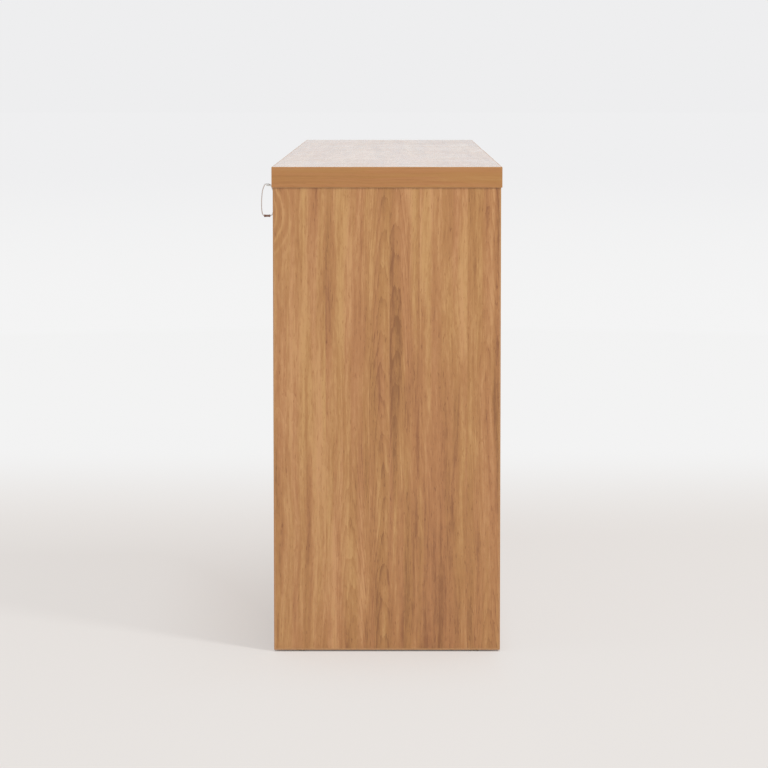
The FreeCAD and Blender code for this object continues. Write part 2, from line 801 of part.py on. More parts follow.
def make_drawer_bottom(low_z):
    """The bottom that slides into the grooves of the sides."""
    reach = box_inner_x + box_groove_depth - box_groove_play
    bottom_z = low_z + box_bottom_rise
    high = (reach, front_back_y + box_depth, bottom_z + box_bottom_thickness)
    return block((-reach, front_back_y, bottom_z), high)


def drawer_spans():
    """The lowest and highest level of each drawer front, from the top down."""
    spans = []
    high = fronts_top_z
    for drawer_height in [top_drawer_height] + deep_drawer_count * [deep_drawer_height]:
        spans.append((high - drawer_height, high))
        high = high - drawer_height - front_gap
    return spans


def save_drawer(name, span):
    """Writes the pieces of one drawer and returns its two outer runners."""
    box_low = span[0] + box_above_front_foot
    box_high = span[1] - box_below_front_top
    runner_z = box_low + runner_rise
    pull_middle = (0, face_y, (span[0] + span[1]) / 2)
    middle_runner = make_right_middle_runner(runner_z)
    inner_runner = make_right_inner_runner(runner_z)
    outer_runner = make_right_outer_runner(runner_z)
    save(name + "_front", [make_drawer_front(span[0], span[1])])
    save(name + "_pull", [make_pull(pull_middle, False)])
    save(name + "_box", make_drawer_box(box_low, box_high))
    save(name + "_bottom", [make_drawer_bottom(box_low)])
    save(name + "_inner_runners", [inner_runner, mirrored(inner_runner)])
    save(name + "_middle_runners", [middle_runner, mirrored(middle_runner)])
    return [outer_runner, mirrored(outer_runner)]


def save_pair(right_name, left_name, pieces):
    """Writes a right-hand sub-part and its mirror image."""
    save(right_name, pieces)
    save(left_name, [mirrored(piece) for piece in pieces])


def with_mirror(pieces):
    """Returns pieces together with their mirror images."""
    return pieces + [mirrored(piece) for piece in pieces]


def save_case():
    """Writes the fixed boards and their fittings."""
    save("top_board", [make_top_board()])
    save("top_edge_bands", make_top_bands())
    save_pair("right_end_panel", "left_end_panel", [make_right_end_panel()])
    save("end_panel_bands", with_mirror(make_right_end_bands()))
    save("bottom_panel", [make_bottom_panel()])
    save_pair("right_partition", "left_partition", [make_right_partition()])
    save("back_panel", [make_back_panel()])
    save("front_plinth", [make_plinth(front_plinth_y)])
    save("rear_plinth", [make_plinth(rear_plinth_y)])
    save("plinth_cross", [make_plinth_cross()])
    save_pair("right_shelf", "left_shelf", [make_right_shelf()])
    save("foot_glides", make_glides())
    save("shelf_pins", with_mirror(make_right_shelf_pins()))
    save("fixing_angles", with_mirror(make_right_angles()))
    save("front_bumpers", make_bumpers())
    save("lock_strikes", with_mirror([make_right_strike()]))
    save("hinge_arms", with_mirror([make_right_hinge_arm(z) for z in hinge_heights]))
    save("hinge_plates", with_mirror([make_right_hinge_plate(z) for z in hinge_heights]))


def save_doors():
    """Writes both doors with their hinges, pulls and locks, and the key in the right one."""
    cups = [make_right_hinge_cup(z) for z in hinge_heights]
    pins = [make_right_hinge_pin(z) for z in hinge_heights]
    save_pair("right_door_panel", "left_door_panel", [make_right_door()])
    save_pair("right_door_pull", "left_door_pull", [make_pull((pull_x, face_y, pull_z), True)])
    save_pair("right_hinge_cups", "left_hinge_cups", cups)
    save_pair("right_hinge_pins", "left_hinge_pins", pins)
    save_pair("right_hinge_links", "left_hinge_links", [make_right_hinge_link(z) for z in hinge_heights])
    save_pair("right_lock_housing", "left_lock_housing", [make_right_lock_housing()])
    save_pair("right_lock_plug", "left_lock_plug", [make_right_lock_plug()])
    save_pair("right_lock_cam", "left_lock_cam", [make_right_lock_cam()])
    save("key", [make_key()])
    save("key_ring", [make_key_ring()])
    save("ring_sleeve", [make_ring_sleeve()])


def save_drawers():
    """Writes the three drawers and the runners on the partitions."""
    outer_runners = []
    for number, span in enumerate(drawer_spans(), start=1):
        outer_runners += save_drawer("drawer_" + str(number), span)
    save("outer_runners", outer_runners)


os.makedirs("parts", exist_ok=True)
save_case()
save_doors()
save_drawers()
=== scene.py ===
"""A low office sideboard with two hinged doors and three drawers, dressed for rendering.

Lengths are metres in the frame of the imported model: X runs along the length, the
fronts face -Y, Z is up, and the origin is on the floor under the middle.
"""

from __future__ import annotations

import logging
import math
from collections.abc import Iterable, Sequence
from dataclasses import dataclass, field, replace
from enum import Enum
from itertools import product

import bmesh
import bpy
from bpy.types import ID, Material, Mesh, Node, NodeSocket, NodeTree, Object
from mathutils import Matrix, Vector

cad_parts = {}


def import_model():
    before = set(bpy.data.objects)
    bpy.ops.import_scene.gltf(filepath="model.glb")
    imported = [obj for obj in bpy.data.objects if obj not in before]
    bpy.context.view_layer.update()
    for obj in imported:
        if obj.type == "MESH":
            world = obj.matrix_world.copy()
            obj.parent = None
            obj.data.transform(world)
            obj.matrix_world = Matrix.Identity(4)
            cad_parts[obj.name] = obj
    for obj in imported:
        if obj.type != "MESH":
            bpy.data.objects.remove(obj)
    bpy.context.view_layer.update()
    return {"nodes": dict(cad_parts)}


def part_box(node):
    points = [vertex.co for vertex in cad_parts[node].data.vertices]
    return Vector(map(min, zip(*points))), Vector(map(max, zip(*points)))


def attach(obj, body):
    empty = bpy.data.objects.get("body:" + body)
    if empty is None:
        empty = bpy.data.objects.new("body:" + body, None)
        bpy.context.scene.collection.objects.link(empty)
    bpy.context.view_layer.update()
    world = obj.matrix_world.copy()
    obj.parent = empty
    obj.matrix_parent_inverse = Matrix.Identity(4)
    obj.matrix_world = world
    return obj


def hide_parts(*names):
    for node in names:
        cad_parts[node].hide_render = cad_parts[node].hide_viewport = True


LOG = logging.getLogger("sideboard")

MM = 0.001
WHITE_LEVEL = 255.0
SHARP_FROM = math.radians(35)
BACKWARD = (0, 1, 0)
DOWNWARD = (0, 0, -1)
WAYS = (-1, 1)

Colour = tuple[float, float, float, float]
Triple = tuple[float, float, float]
Pair = tuple[float, float]
Box = tuple[Vector, Vector]
Outputs = bpy.types.bpy_prop_collection


def paint(red: float, green: float, blue: float) -> Colour:
    """Turns a colour as a screen shows it into the values that the renderer works with.

    Args:
        red: red from 0 to 255.
        green: green from 0 to 255.
        blue: blue from 0 to 255.

    Returns:
        The same colour as linear values from 0 to 1, with a full alpha.
    """
    linear = []
    for level in (red, green, blue):
        share = level / WHITE_LEVEL
        # The bare numbers are those of the standard screen curve.
        linear.append(share / 12.92 if share <= 0.04045 else ((share + 0.055) / 1.055) ** 2.4)
    return (linear[0], linear[1], linear[2], 1.0)


def middle_of(box: Box) -> Vector:
    """Gives the middle of a box."""
    return (box[0] + box[1]) / 2


class Grain(Enum):
    """The way a board's grain runs, with the axes of the piece that the figure's X, Y and Z follow."""

    LENGTH = (1, 2, 0)
    DEPTH = (0, 2, 1)
    HEIGHT = (0, 1, 2)


class Side(Enum):
    """The right-hand or the left-hand half of the sideboard."""

    RIGHT = 1
    LEFT = -1

    @property
    def word(self) -> str:
        """The side's word in the names of nodes and bodies."""
        return self.name.lower()


class Tree:
    """Adds nodes to one node tree and joins them."""

    def __init__(self, tree: NodeTree) -> None:
        """Keeps the tree that the nodes go into."""
        self.tree = tree

    def feed(self, node: Node, feeds: dict) -> None:
        """Sets inputs of a node or links them.

        Args:
            node: the node.
            feeds: a value or another node's output for each input, by name or number.
        """
        for key, value in feeds.items():
            if isinstance(value, NodeSocket):
                self.tree.links.new(value, node.inputs[key])
            else:
                node.inputs[key].default_value = value

    def add(self, kind: str, feeds: dict | None = None, **settings: object) -> Node:
        """Adds a node.

        Args:
            kind: the node's type.
            feeds: what goes into it.
            **settings: values of the node's own properties.

        Returns:
            The new node.
        """
        node = self.tree.nodes.new(kind)
        for name, value in settings.items():
            setattr(node, name, value)
        self.feed(node, feeds or {})
        return node

    def out(self, kind: str, feeds: dict | None = None, **settings: object) -> NodeSocket:
        """Adds a node and gives its first output."""
        return self.add(kind, feeds, **settings).outputs[0]

    def group(self, inner: NodeTree, feeds: dict) -> Outputs:
        """Places a shader group and gives its outputs."""
        return self.add("ShaderNodeGroup", feeds, node_tree=inner).outputs

    def sum(self, operation: str, *values: object) -> NodeSocket:
        """Does one sum on numbers."""
        return self.out("ShaderNodeMath", dict(enumerate(values)), operation=operation)

    def times(self, first: object, second: object) -> NodeSocket:
        """Multiplies two numbers."""
        return self.sum("MULTIPLY", first, second)

    def plus(self, value: object, factor: object, base: object) -> NodeSocket:
        """Adds a value times a factor to a base."""
        return self.sum("MULTIPLY_ADD", value, factor, base)

    def arrow(self, operation: str, *values: object) -> NodeSocket:
        """Does one sum on vectors, which gives a number for a length or a dot product."""
        node = self.add("ShaderNodeVectorMath", dict(enumerate(values)), operation=operation)
        return node.outputs["Value" if operation in ("LENGTH", "DOT_PRODUCT") else "Vector"]

    def here(self) -> NodeSocket:
        """Reads the place on the piece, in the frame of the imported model."""
        return self.add("ShaderNodeTexCoord").outputs["Object"]

    def parts(self, vector: object) -> Outputs:
        """Takes a vector apart into three numbers."""
        return self.add("ShaderNodeSeparateXYZ", {0: vector}).outputs

    def joined(self, *numbers: object) -> NodeSocket:
        """Puts three numbers together as a vector."""
        return self.out("ShaderNodeCombineXYZ", dict(enumerate(numbers)))

    def noise(self, where: object, detail: float, roughness: float) -> NodeSocket:
        """Adds smooth noise around a half, with features about one unit wide."""
        feeds = {"Vector": where, "Scale": 1.0, "Detail": detail, "Roughness": roughness}
        return self.out("ShaderNodeTexNoise", feeds)

    def even_noise(self, where: object, count: float, detail: float, roughness: float) -> NodeSocket:
        """Adds smooth noise with a count of features per metre, alike along every axis."""
        return self.noise(self.arrow("MULTIPLY", where, (count, count, count)), detail, roughness)

    def span(self, value: object, low: float, high: float, start: float = 0.0, end: float = 1.0) -> NodeSocket:
        """Turns the range from low to high softly into the one from start to end."""
        feeds = {0: value, 1: low, 2: high, 3: start, 4: end}
        return self.out("ShaderNodeMapRange", feeds, interpolation_type="SMOOTHSTEP")

    def mix(self, share: object, first: object, second: object, blend: str = "MIX") -> NodeSocket:
        """Mixes a share of a second colour into a first one."""
        feeds = {0: share, 6: first, 7: second}
        return self.add("ShaderNodeMix", feeds, data_type="RGBA", blend_type=blend).outputs[2]

    def teeth(self, turns: NodeSocket, power: float) -> NodeSocket:
        """Draws lines that fade in slowly and end sharply, one in each turn."""
        return self.sum("POWER", self.sum("FRACT", turns), power)

    def seen(self) -> NodeSocket:
        """Gives 1 for rays that reach the camera straight, by gloss or through glass, and 0 for light."""
        path = self.add("ShaderNodeLightPath").outputs
        straight = self.sum("MAXIMUM", path["Is Camera Ray"], path["Is Glossy Ray"])
        return self.sum("MAXIMUM", straight, path["Is Transmission Ray"])


class Group(Tree):
    """A new node group, with what its inputs give and the node that takes its outputs."""

    def __init__(self, name: str, kind: str, inputs: dict, outputs: dict) -> None:
        """Makes the group and its sockets.

        Args:
            name: the group's name.
            kind: "Shader" or "Geometry".
            inputs: the names of the inputs of each kind of socket.
            outputs: the names of the outputs of each kind of socket.
        """
        super().__init__(bpy.data.node_groups.new(name, kind + "NodeTree"))
        for way, sockets in (("INPUT", inputs), ("OUTPUT", outputs)):
            for socket, labels in sockets.items():
                for label in labels:
                    self.tree.interface.new_socket(label, in_out=way, socket_type="NodeSocket" + socket)
        self.given = self.add("NodeGroupInput").outputs
        self.result = self.add("NodeGroupOutput")


class Surface(Tree):
    """The node tree of one new material that holds one Principled shader."""

    def __init__(self, name: str, effects: Effects | None = None) -> None:
        """Makes the material, which may use the shared effects."""
        self.effects = effects
        self.material = bpy.data.materials.new(name)
        self.material.use_nodes = True
        self.material.node_tree.nodes.clear()
        super().__init__(self.material.node_tree)
        self.shader = self.add("ShaderNodeBsdfPrincipled")
        self.output = self.add("ShaderNodeOutputMaterial", {"Surface": self.shader.outputs[0]})

    def turned(self, grain: Grain, shift: Sequence[float] = (0.0, 0.0, 0.0)) -> NodeSocket:
        """Reads the place on the piece, moved by the shift and turned so that the grain runs along Z."""
        parts = self.parts(self.here())
        return self.arrow("ADD", self.joined(*(parts[axis] for axis in grain.value)), tuple(shift))

    def touched(self, place: object, base: float, spread: float) -> NodeSocket:
        """Gives the roughness that handling leaves, spread around a base."""
        feeds = {"Place": place, "Base": base, "Spread": spread}
        return self.group(self.effects.handling, feeds)["Roughness"]

    def bumps(self, height: object, strength: float, distance: float) -> NodeSocket:
        """Turns a height over the surface into fine relief, of a strength and a depth in metres."""
        return self.out("ShaderNodeBump", {"Height": height, "Strength": strength, "Distance": distance})


@dataclass(frozen=True)
class Layer:
    """One layer of noise in the wood figure, with its features counted per metre."""

    across: float
    along: float
    detail: float = 1.0
    roughness: float = 0.5
    edge: Pair | None = None
    offset: Triple = (0.0, 0.0, 0.0)


class Veneer(Group):
    """Figure of sliced veneer whose grain runs along the place's Z.

    The weights say how much each layer adds to the tone: those around a half first,
    the fine ones faded inside the eye, and then those that only darken or lighten.
    """

    staves: float = 17.0
    stave_spread: float = 0.9
    stave_jump: Triple = (0.0, 0.0, 2.7)
    sway: tuple[Triple, Triple] = ((5.0, 5.0, 1.6), (0.034, 0.034, 0.0))
    ripple: tuple[Triple, Triple] = ((19.0, 19.0, 6.0), (0.007, 0.007, 0.0))
    arches: float = 17.0
    arch_bend: float = 24.0
    arch_jitter: float = 1.2
    arch_power: float = 3.0
    arched_staves: Pair = (0.3, 0.45)
    ring_form: Triple = (1.0, 1.0, 0.17)
    rings: float = 125.0
    ring_jitter: float = 2.0
    ring_power: float = 2.5
    eye_form: Triple = (1.0, 1.0, 0.55)
    eye_edge: Pair = (0.060, 0.026)
    eye_rings: float = 190.0
    eye_jitter: float = 5.0
    eye_power: float = 2.0
    eye_calm: float = -0.65
    fine_weights: tuple = (("bands", 1.35), ("streaks", 1.15), ("fibres", 0.50), ("flecks", 0.50))
    broad_weights: tuple = (("clouds", 0.45), ("stave", 0.20))
    mark_weights: tuple = (("seams", -0.26), ("rings", 0.15), ("loops", 0.46), ("near", -0.16),
                           ("pores", -0.14), ("arches", -0.30), ("ticks", -0.30))
    middle_tone: float = 0.52
    pale_edge: Pair = (0.45, 1.0)
    deep_edge: Pair = (0.55, 0.0)
    tints: tuple[Colour, Colour] = ((1.015, 0.98, 1.03, 1.0), (0.99, 1.01, 0.94, 1.0))
    fibre_height: float = 0.6
    gloss_edge: Pair = (0.35, 0.65)

    def __init__(self) -> None:
        """Builds the group."""
        inputs = {"Vector": ("Place", "Here", "Lean"), "Color": ("Pale", "Middle", "Deep"),
                  "Float": ("Contrast", "Fineness", "Rings")}
        super().__init__("wood_grain", "Shader", inputs, {"Color": ("Color",), "Float": ("Height", "Gloss")})
        layers = self._layers()
        tone = self._tone(layers)
        light = self.mix(self.span(tone, *self.pale_edge), self.given["Middle"], self.given["Pale"])
        colour = self.mix(self.span(tone, *self.deep_edge), light, self.given["Deep"])
        tint = self.mix(layers["hue"], *self.tints)
        height = self.sum("SUBTRACT", self.times(layers["fibres"], self.fibre_height), layers["pores"])
        self.feed(self.result, {"Color": self.mix(1.0, colour, tint, "MULTIPLY"), "Height": height,
                                "Gloss": self.span(layers["streaks"], *self.gloss_edge)})

    def _layers(self) -> dict[str, NodeSocket]:
        """Reads every layer at the place, which is split into staves and bent.

        Returns:
            The layers by name.
        """
        place = self.given["Place"]
        flat = self.parts(place)
        across = self.times(self.sum("ADD", flat[0], flat[1]), self.staves)
        feeds = {"W": across, "Scale": 1.0, "Randomness": self.stave_spread}
        stave = self.add("ShaderNodeTexVoronoi", feeds, voronoi_dimensions="1D").outputs
        moved = self.arrow("ADD", place, self.arrow("MULTIPLY", stave["Color"], self.stave_jump))
        shifts = []
        for scale, reach in (self.sway, self.ripple):
            where = self.arrow("MULTIPLY", moved, scale)
            wave = self.add("ShaderNodeTexNoise", {"Vector": where, "Scale": 1.0}).outputs["Color"]
            shifts.append(self.arrow("MULTIPLY", self.arrow("SUBTRACT", wave, (0.5, 0.5, 0.5)), reach))
        shift = self.arrow("ADD", *shifts)
        bent = self.arrow("ADD", moved, shift)

        layers = {"stave": stave["Color"]}
        for name, layer in LAYERS.items():
            fine = self.times(self.given["Fineness"], layer.across)
            where = {"clouds": place, "arched": moved}.get(name, bent)
            scaled = self.arrow("MULTIPLY_ADD", where, self.joined(fine, fine, layer.along), layer.offset)
            value = self.noise(scaled, layer.detail, layer.roughness)
            layers[name] = self.span(value, *layer.edge) if layer.edge else value

        # Pointed arches climb up the middle of some staves.
        flat = self.parts(bent)
        aside = self.times(self.sum("ADD", flat[0], flat[1]), self.staves)
        aside = self.sum("SUBTRACT", aside, stave["W"])
        climb = self.plus(flat[2], self.arches, self.times(layers["streaks"], self.arch_jitter))
        arches = self.teeth(self.plus(self.times(aside, aside), self.arch_bend, climb), self.arch_power)
        chosen = self.add("ShaderNodeSeparateColor", {0: stave["Color"]}).outputs[1]
        arched = self.times(layers["arched"], self.span(chosen, *self.arched_staves))
        layers["arches"] = self.times(arches, arched)

        # Growth rings show in patches, and nested loops inside the eye.
        radius = self.arrow("LENGTH", self.arrow("MULTIPLY", bent, self.ring_form))
        turns = self.plus(radius, self.rings, self.times(layers["bands"], self.ring_jitter))
        rings = self.times(self.teeth(turns, self.ring_power), layers["ringed"])
        layers["rings"] = self.times(rings, self.given["Rings"])
        eye = self.arrow("LENGTH", self.arrow("MULTIPLY", self.arrow("ADD", place, shift), self.eye_form))
        layers["near"] = self.span(eye, *self.eye_edge)
        loops = self.plus(layers["bands"], self.eye_jitter, self.plus(eye, self.eye_rings, layers["streaks"]))
        loops = self.sum("POWER", self.sum("PINGPONG", loops, 1.0), self.eye_power)
        layers["loops"] = self.times(loops, layers["near"])
        return layers

    def _tone(self, layers: dict[str, NodeSocket]) -> NodeSocket:
        """Adds the layers up, and then a painted shade that slopes evenly across the piece.

        Args:
            layers: the layers by name.

        Returns:
            The tone, from deep at 0 to pale at 1.
        """
        tone: object = 0.0
        for name, weight in self.fine_weights:
            tone = self.plus(self.sum("SUBTRACT", layers[name], 0.5), weight, tone)
        tone = self.times(tone, self.plus(layers["near"], self.eye_calm, 1.0))
        for name, weight in self.broad_weights:
            tone = self.plus(self.sum("SUBTRACT", layers[name], 0.5), weight, tone)
        for name, weight in self.mark_weights:
            tone = self.plus(layers[name], weight, tone)
        # Painted shade: the tone rises or falls evenly along the slope, so one side of the piece is lighter and
        # the other darker.
        tone = self.sum("ADD", tone, self.arrow("DOT_PRODUCT", self.given["Here"], self.given["Lean"]))
        return self.plus(tone, self.given["Contrast"], self.middle_tone)


# The layers of noise that the wood figure is made of.
LAYERS = {
    "clouds": Layer(5.0, 2.2),
    "bands": Layer(36.0, 1.3, detail=3.0),
    "streaks": Layer(100.0, 5.5, detail=3.0, roughness=0.58),
    "fibres": Layer(330.0, 17.0, detail=2.0, roughness=0.6),
    "flecks": Layer(210.0, 52.0, detail=2.0, roughness=0.6),
    "seams": Layer(62.0, 2.2, edge=(0.60, 0.74)),
    "pores": Layer(900.0, 60.0, edge=(0.58, 0.70)),
    "ticks": Layer(420.0, 75.0, edge=(0.64, 0.74)),
    "arched": Layer(9.0, 1.6, edge=(0.44, 0.56)),
    "ringed": Layer(12.0, 3.0, edge=(0.45, 0.65)),
    "hue": Layer(44.0, 2.0, detail=2.0, edge=(0.34, 0.66), offset=(7.0, 3.0, 5.0)),
}


@dataclass
class Effects:
    """The shader node groups that more than one material uses."""

    cloud_count: float = 9.0
    wipe_scale: Triple = (55.0, 55.0, 11.0)
    wipe_weight: float = 0.35
    touched: Pair = (0.50, 0.85)
    ragged_count: float = 140.0
    line_length: float = 25.0
    blotch_scale: Triple = (90.0, 90.0, 40.0)

    def __post_init__(self) -> None:
        """Builds each group once."""
        self.wood_grain = Veneer().tree
        self.handling = self._handling()
        self.corner_rub = self._corner_rub()
        self.drawn_lines = self._drawn_lines()

    def _handling(self) -> NodeTree:
        """Builds the uneven sheen that hands and cloths leave on a surface.

        Returns:
            The group's tree.
        """
        tree = Group("handling", "Shader", {"Vector": ("Place",), "Float": ("Base", "Spread")},
                     {"Float": ("Roughness",)})
        clouds = tree.even_noise(tree.given["Place"], self.cloud_count, 4.0, 0.6)
        wipes = tree.noise(tree.arrow("MULTIPLY", tree.given["Place"], self.wipe_scale), 2.0, 0.5)
        mask = tree.span(tree.plus(wipes, self.wipe_weight, clouds), *self.touched)
        offset = tree.times(tree.sum("SUBTRACT", mask, 0.5), tree.given["Spread"])
        tree.feed(tree.result, {"Roughness": tree.sum("ADD", tree.given["Base"], offset)})
        return tree.tree

    def _corner_rub(self) -> NodeTree:
        """Builds a mask of the rubbed corners of a board, from how near two of its sides are.

        Returns:
            The group's tree.
        """
        tree = Group("corner_rub", "Shader", {"Vector": ("Place", "Centre", "Half"), "Float": ("Width",)},
                     {"Float": ("Mask",)})
        given = tree.given
        local = tree.arrow("ABSOLUTE", tree.arrow("SUBTRACT", given["Place"], given["Centre"]))
        depth = tree.parts(tree.arrow("SUBTRACT", given["Half"], local))
        ragged = tree.even_noise(given["Place"], self.ragged_count, 3.0, 0.6)
        width = tree.times(given["Width"], tree.times(ragged, 2.0))
        near = [tree.span(tree.sum("DIVIDE", depth[axis], width), 1.0, 0.0) for axis in range(3)]
        pairs = [tree.times(near[axis], near[axis - 1]) for axis in range(3)]
        tree.feed(tree.result, {"Mask": tree.sum("MAXIMUM", tree.sum("MAXIMUM", *pairs[:2]), pairs[2])})
        return tree.tree

    def _drawn_lines(self) -> NodeTree:
        """Builds the fine lines that drawing, rolling or brushing leaves in metal along the place's Z.

        Returns:
            The group's tree.
        """
        tree = Group("drawn_lines", "Shader", {"Vector": ("Place",), "Float": ("Fineness", "Tone")},
                     {"Color": ("Shade",), "Float": ("Height",)})
        given = tree.given
        scale = tree.joined(given["Fineness"], given["Fineness"], self.line_length)
        lines = tree.noise(tree.arrow("MULTIPLY", given["Place"], scale), 2.0, 0.6)
        blotch = tree.noise(tree.arrow("MULTIPLY", given["Place"], self.blotch_scale), 3.0, 0.6)
        both = tree.plus(lines, 0.5, tree.times(blotch, 0.5))
        level = tree.plus(tree.sum("SUBTRACT", both, 0.5), given["Tone"], 1.0)
        shade = tree.out("ShaderNodeCombineColor", {0: level, 1: level, 2: level})
        tree.feed(tree.result, {"Shade": shade, "Height": lines})
        return tree.tree


@dataclass(frozen=True)
class WoodFinish:
    """Wood-figured laminate, foil or edge band."""

    pale: Colour
    middle: Colour
    deep: Colour
    rubbed: Colour
    contrast: float = 1.0
    fineness: float = 1.0
    rings: float = 1.0
    roughness: float = 0.40
    spread: float = 0.12
    gloss: float = -0.05
    relief: float = 0.25
    depth: float = 0.12 * MM
    coat: float = 0.12
    coat_roughness: float = 0.25
    rub_width: float = 1.1 * MM
    rub_colour: float = 0.55
    rub_roughness: float = 0.15
    # Painted shade: how far the tone rises per metre along X, Y and Z, lighter on one side of the piece and
    # darker on the other.
    lean: Triple = (0.0, 0.0, 0.0)

    def fill(self, tree: Surface, place: NodeSocket, box: Box) -> None:
        """Wires the figure, the sheen and the rubbed corners to a surface.

        Args:
            tree: the surface.
            place: the turned place that the figure is read at.
            box: the piece's lowest and highest corner.
        """
        here = tree.here()
        figure = tree.group(tree.effects.wood_grain, {
            "Place": place, "Here": here, "Lean": self.lean, "Pale": self.pale, "Middle": self.middle,
            "Deep": self.deep, "Contrast": self.contrast, "Fineness": self.fineness, "Rings": self.rings})
        half = tuple((box[1] - box[0]) / 2)
        rub = tree.group(tree.effects.corner_rub, {
            "Place": here, "Centre": tuple(middle_of(box)), "Half": half, "Width": self.rub_width})["Mask"]
        rough = tree.plus(figure["Gloss"], self.gloss, tree.touched(here, self.roughness, self.spread))
        tree.feed(tree.shader, {
            "Base Color": tree.mix(tree.times(rub, self.rub_colour), figure["Color"], self.rubbed),
            "Roughness": tree.plus(rub, self.rub_roughness, rough),
            "Coat Weight": self.coat, "Coat Roughness": self.coat_roughness,
            "Normal": tree.bumps(figure["Height"], self.relief, self.depth)})


@dataclass(frozen=True)
class MetalFinish:
    """Plated, drawn or brushed metal."""

    colour: Colour
    roughness: float = 0.3
    spread: float = 0.12
    fineness: float = 2500.0
    tone: float = 0.35
    metallic: float = 1.0
    relief: float = 0.12
    depth: float = 0.02 * MM
    grain: Grain = Grain.HEIGHT

    def fill(self, tree: Surface) -> None:
        """Wires the finish to a surface.

        Args:
            tree: the surface.
        """
        place = tree.turned(self.grain)
        feeds = {"Place": place, "Fineness": self.fineness, "Tone": self.tone}
        lines = tree.group(tree.effects.drawn_lines, feeds)
        tree.feed(tree.shader, {
            "Base Color": tree.mix(1.0, self.colour, lines["Shade"], "MULTIPLY"),
            "Roughness": tree.touched(place, self.roughness, self.spread), "Metallic": self.metallic,
            "Normal": tree.bumps(lines["Height"], self.relief, self.depth)})


@dataclass(frozen=True)
class SoftFinish:
    """Felt, moulded plastic, the painted shade in a bore and other dull surfaces with a fine grain of their
    own.
    """

    colour: Colour
    speckle: Colour
    roughness: float = 0.6
    spread: float = 0.1
    fineness: float = 900.0
    cloud_count: float = 14.0
    speckled: Pair = (0.55, 0.95)
    relief: float = 0.3
    depth: float = 0.1 * MM
    sheen: float = 0.0

    def fill(self, tree: Surface) -> None:
        """Wires the finish to a surface.

        Args:
            tree: the surface.
        """
        place = tree.turned(Grain.HEIGHT)
        grit = tree.even_noise(place, self.fineness, 3.0, 0.6)
        broad = tree.even_noise(place, self.cloud_count, 3.0, 0.5)
        share = tree.span(tree.plus(broad, 0.5, grit), *self.speckled)
        tree.feed(tree.shader, {
            "Base Color": tree.mix(share, self.colour, self.speckle),
            "Roughness": tree.touched(place, self.roughness, self.spread),
            "Sheen Weight": self.sheen, "Normal": tree.bumps(grit, self.relief, self.depth)})


LAMINATE = WoodFinish(paint(203, 154, 102), paint(180, 127, 78), paint(146, 96, 57), paint(206, 172, 134),
                      contrast=0.89)
# The right end panel carries a painted shade: paler at the top and the front, darker towards the bottom and the
# back.
SHADED_END_LAMINATE = replace(LAMINATE, lean=(0.0, -0.34, 0.18))
TOP_LAMINATE = replace(LAMINATE, contrast=0.8, relief=0.12, roughness=0.32, coat=0.85, coat_roughness=0.15)
INNER_LAMINATE = replace(LAMINATE, contrast=0.8)
BAND = WoodFinish(paint(188, 138, 85), paint(179, 125, 72), paint(165, 112, 62), paint(205, 166, 122),
                  contrast=0.6, fineness=3.2, rings=0.0, roughness=0.4, relief=0.2)
BACK_FOIL = WoodFinish(paint(196, 152, 110), paint(176, 129, 90), paint(150, 104, 72), paint(188, 158, 124),
                       contrast=0.6, rings=0.4, roughness=0.62, relief=0.1)
DRAWER_FOIL = WoodFinish(paint(224, 219, 210), paint(214, 208, 198), paint(198, 191, 180),
                         paint(205, 190, 168), contrast=0.45, fineness=1.8, rings=0.0, roughness=0.55,
                         relief=0.15)
SATIN_BAR = MetalFinish(paint(200, 199, 196), roughness=0.3, tone=0.35)
NICKEL = MetalFinish(paint(205, 201, 194), roughness=0.2, tone=0.2)
FINISHES = {
    "zinc_plate": MetalFinish(paint(196, 198, 200), roughness=0.34, tone=0.5, fineness=700.0),
    "lock_nickel": NICKEL,
    "key_nickel": NICKEL,
    "pull_bar_upright": SATIN_BAR,
    "pull_bar_level": replace(SATIN_BAR, grain=Grain.LENGTH),
    "ring_wire": MetalFinish(paint(232, 232, 233), roughness=0.32, tone=0.2, fineness=4000.0, metallic=0.65),
    "ring_sleeve": MetalFinish(paint(150, 120, 108), roughness=0.42, tone=0.6, metallic=0.6, grain=Grain.DEPTH),
    "bumper_felt": SoftFinish(paint(222, 220, 214), paint(190, 188, 182), roughness=0.9, relief=0.6, sheen=0.3),
    # The glides' plastic is partly their own grey-brown and partly painted shade, darkened to sit in the shade
    # under the panels.
    "glide_plastic": SoftFinish(paint(150, 140, 128), paint(190, 186, 180), roughness=0.5),
    # Painted shade: the dark inside of a bore, laid on thin discs over the faces.
    "bore_shade": SoftFinish(paint(58, 38, 26), paint(36, 24, 16), roughness=0.9),
}


def placed(name: str, data: ID) -> Object:
    """Puts an object with some data into the scene.

    Args:
        name: the object's name.
        data: its mesh, lamp or camera.

    Returns:
        The object, at the origin.
    """
    made = bpy.data.objects.new(name, data)
    bpy.context.scene.collection.objects.link(made)
    return made


def smoothed(mesh: Mesh) -> None:
    """Shades a mesh smooth but for its sharp edges."""
    mesh.shade_smooth()
    mesh.set_sharp_from_angle(angle=SHARP_FROM)


def mesh_piece(name: str, form: bmesh.types.BMesh, material: Material) -> Object:
    """Turns a mesh in the making into an object at the origin.

    Args:
        name: the object's name.
        form: the mesh, in place.
        material: its material.

    Returns:
        The object.
    """
    mesh = bpy.data.meshes.new(name)
    form.to_mesh(mesh)
    form.free()
    mesh.materials.append(material)
    smoothed(mesh)
    return placed(name, mesh)


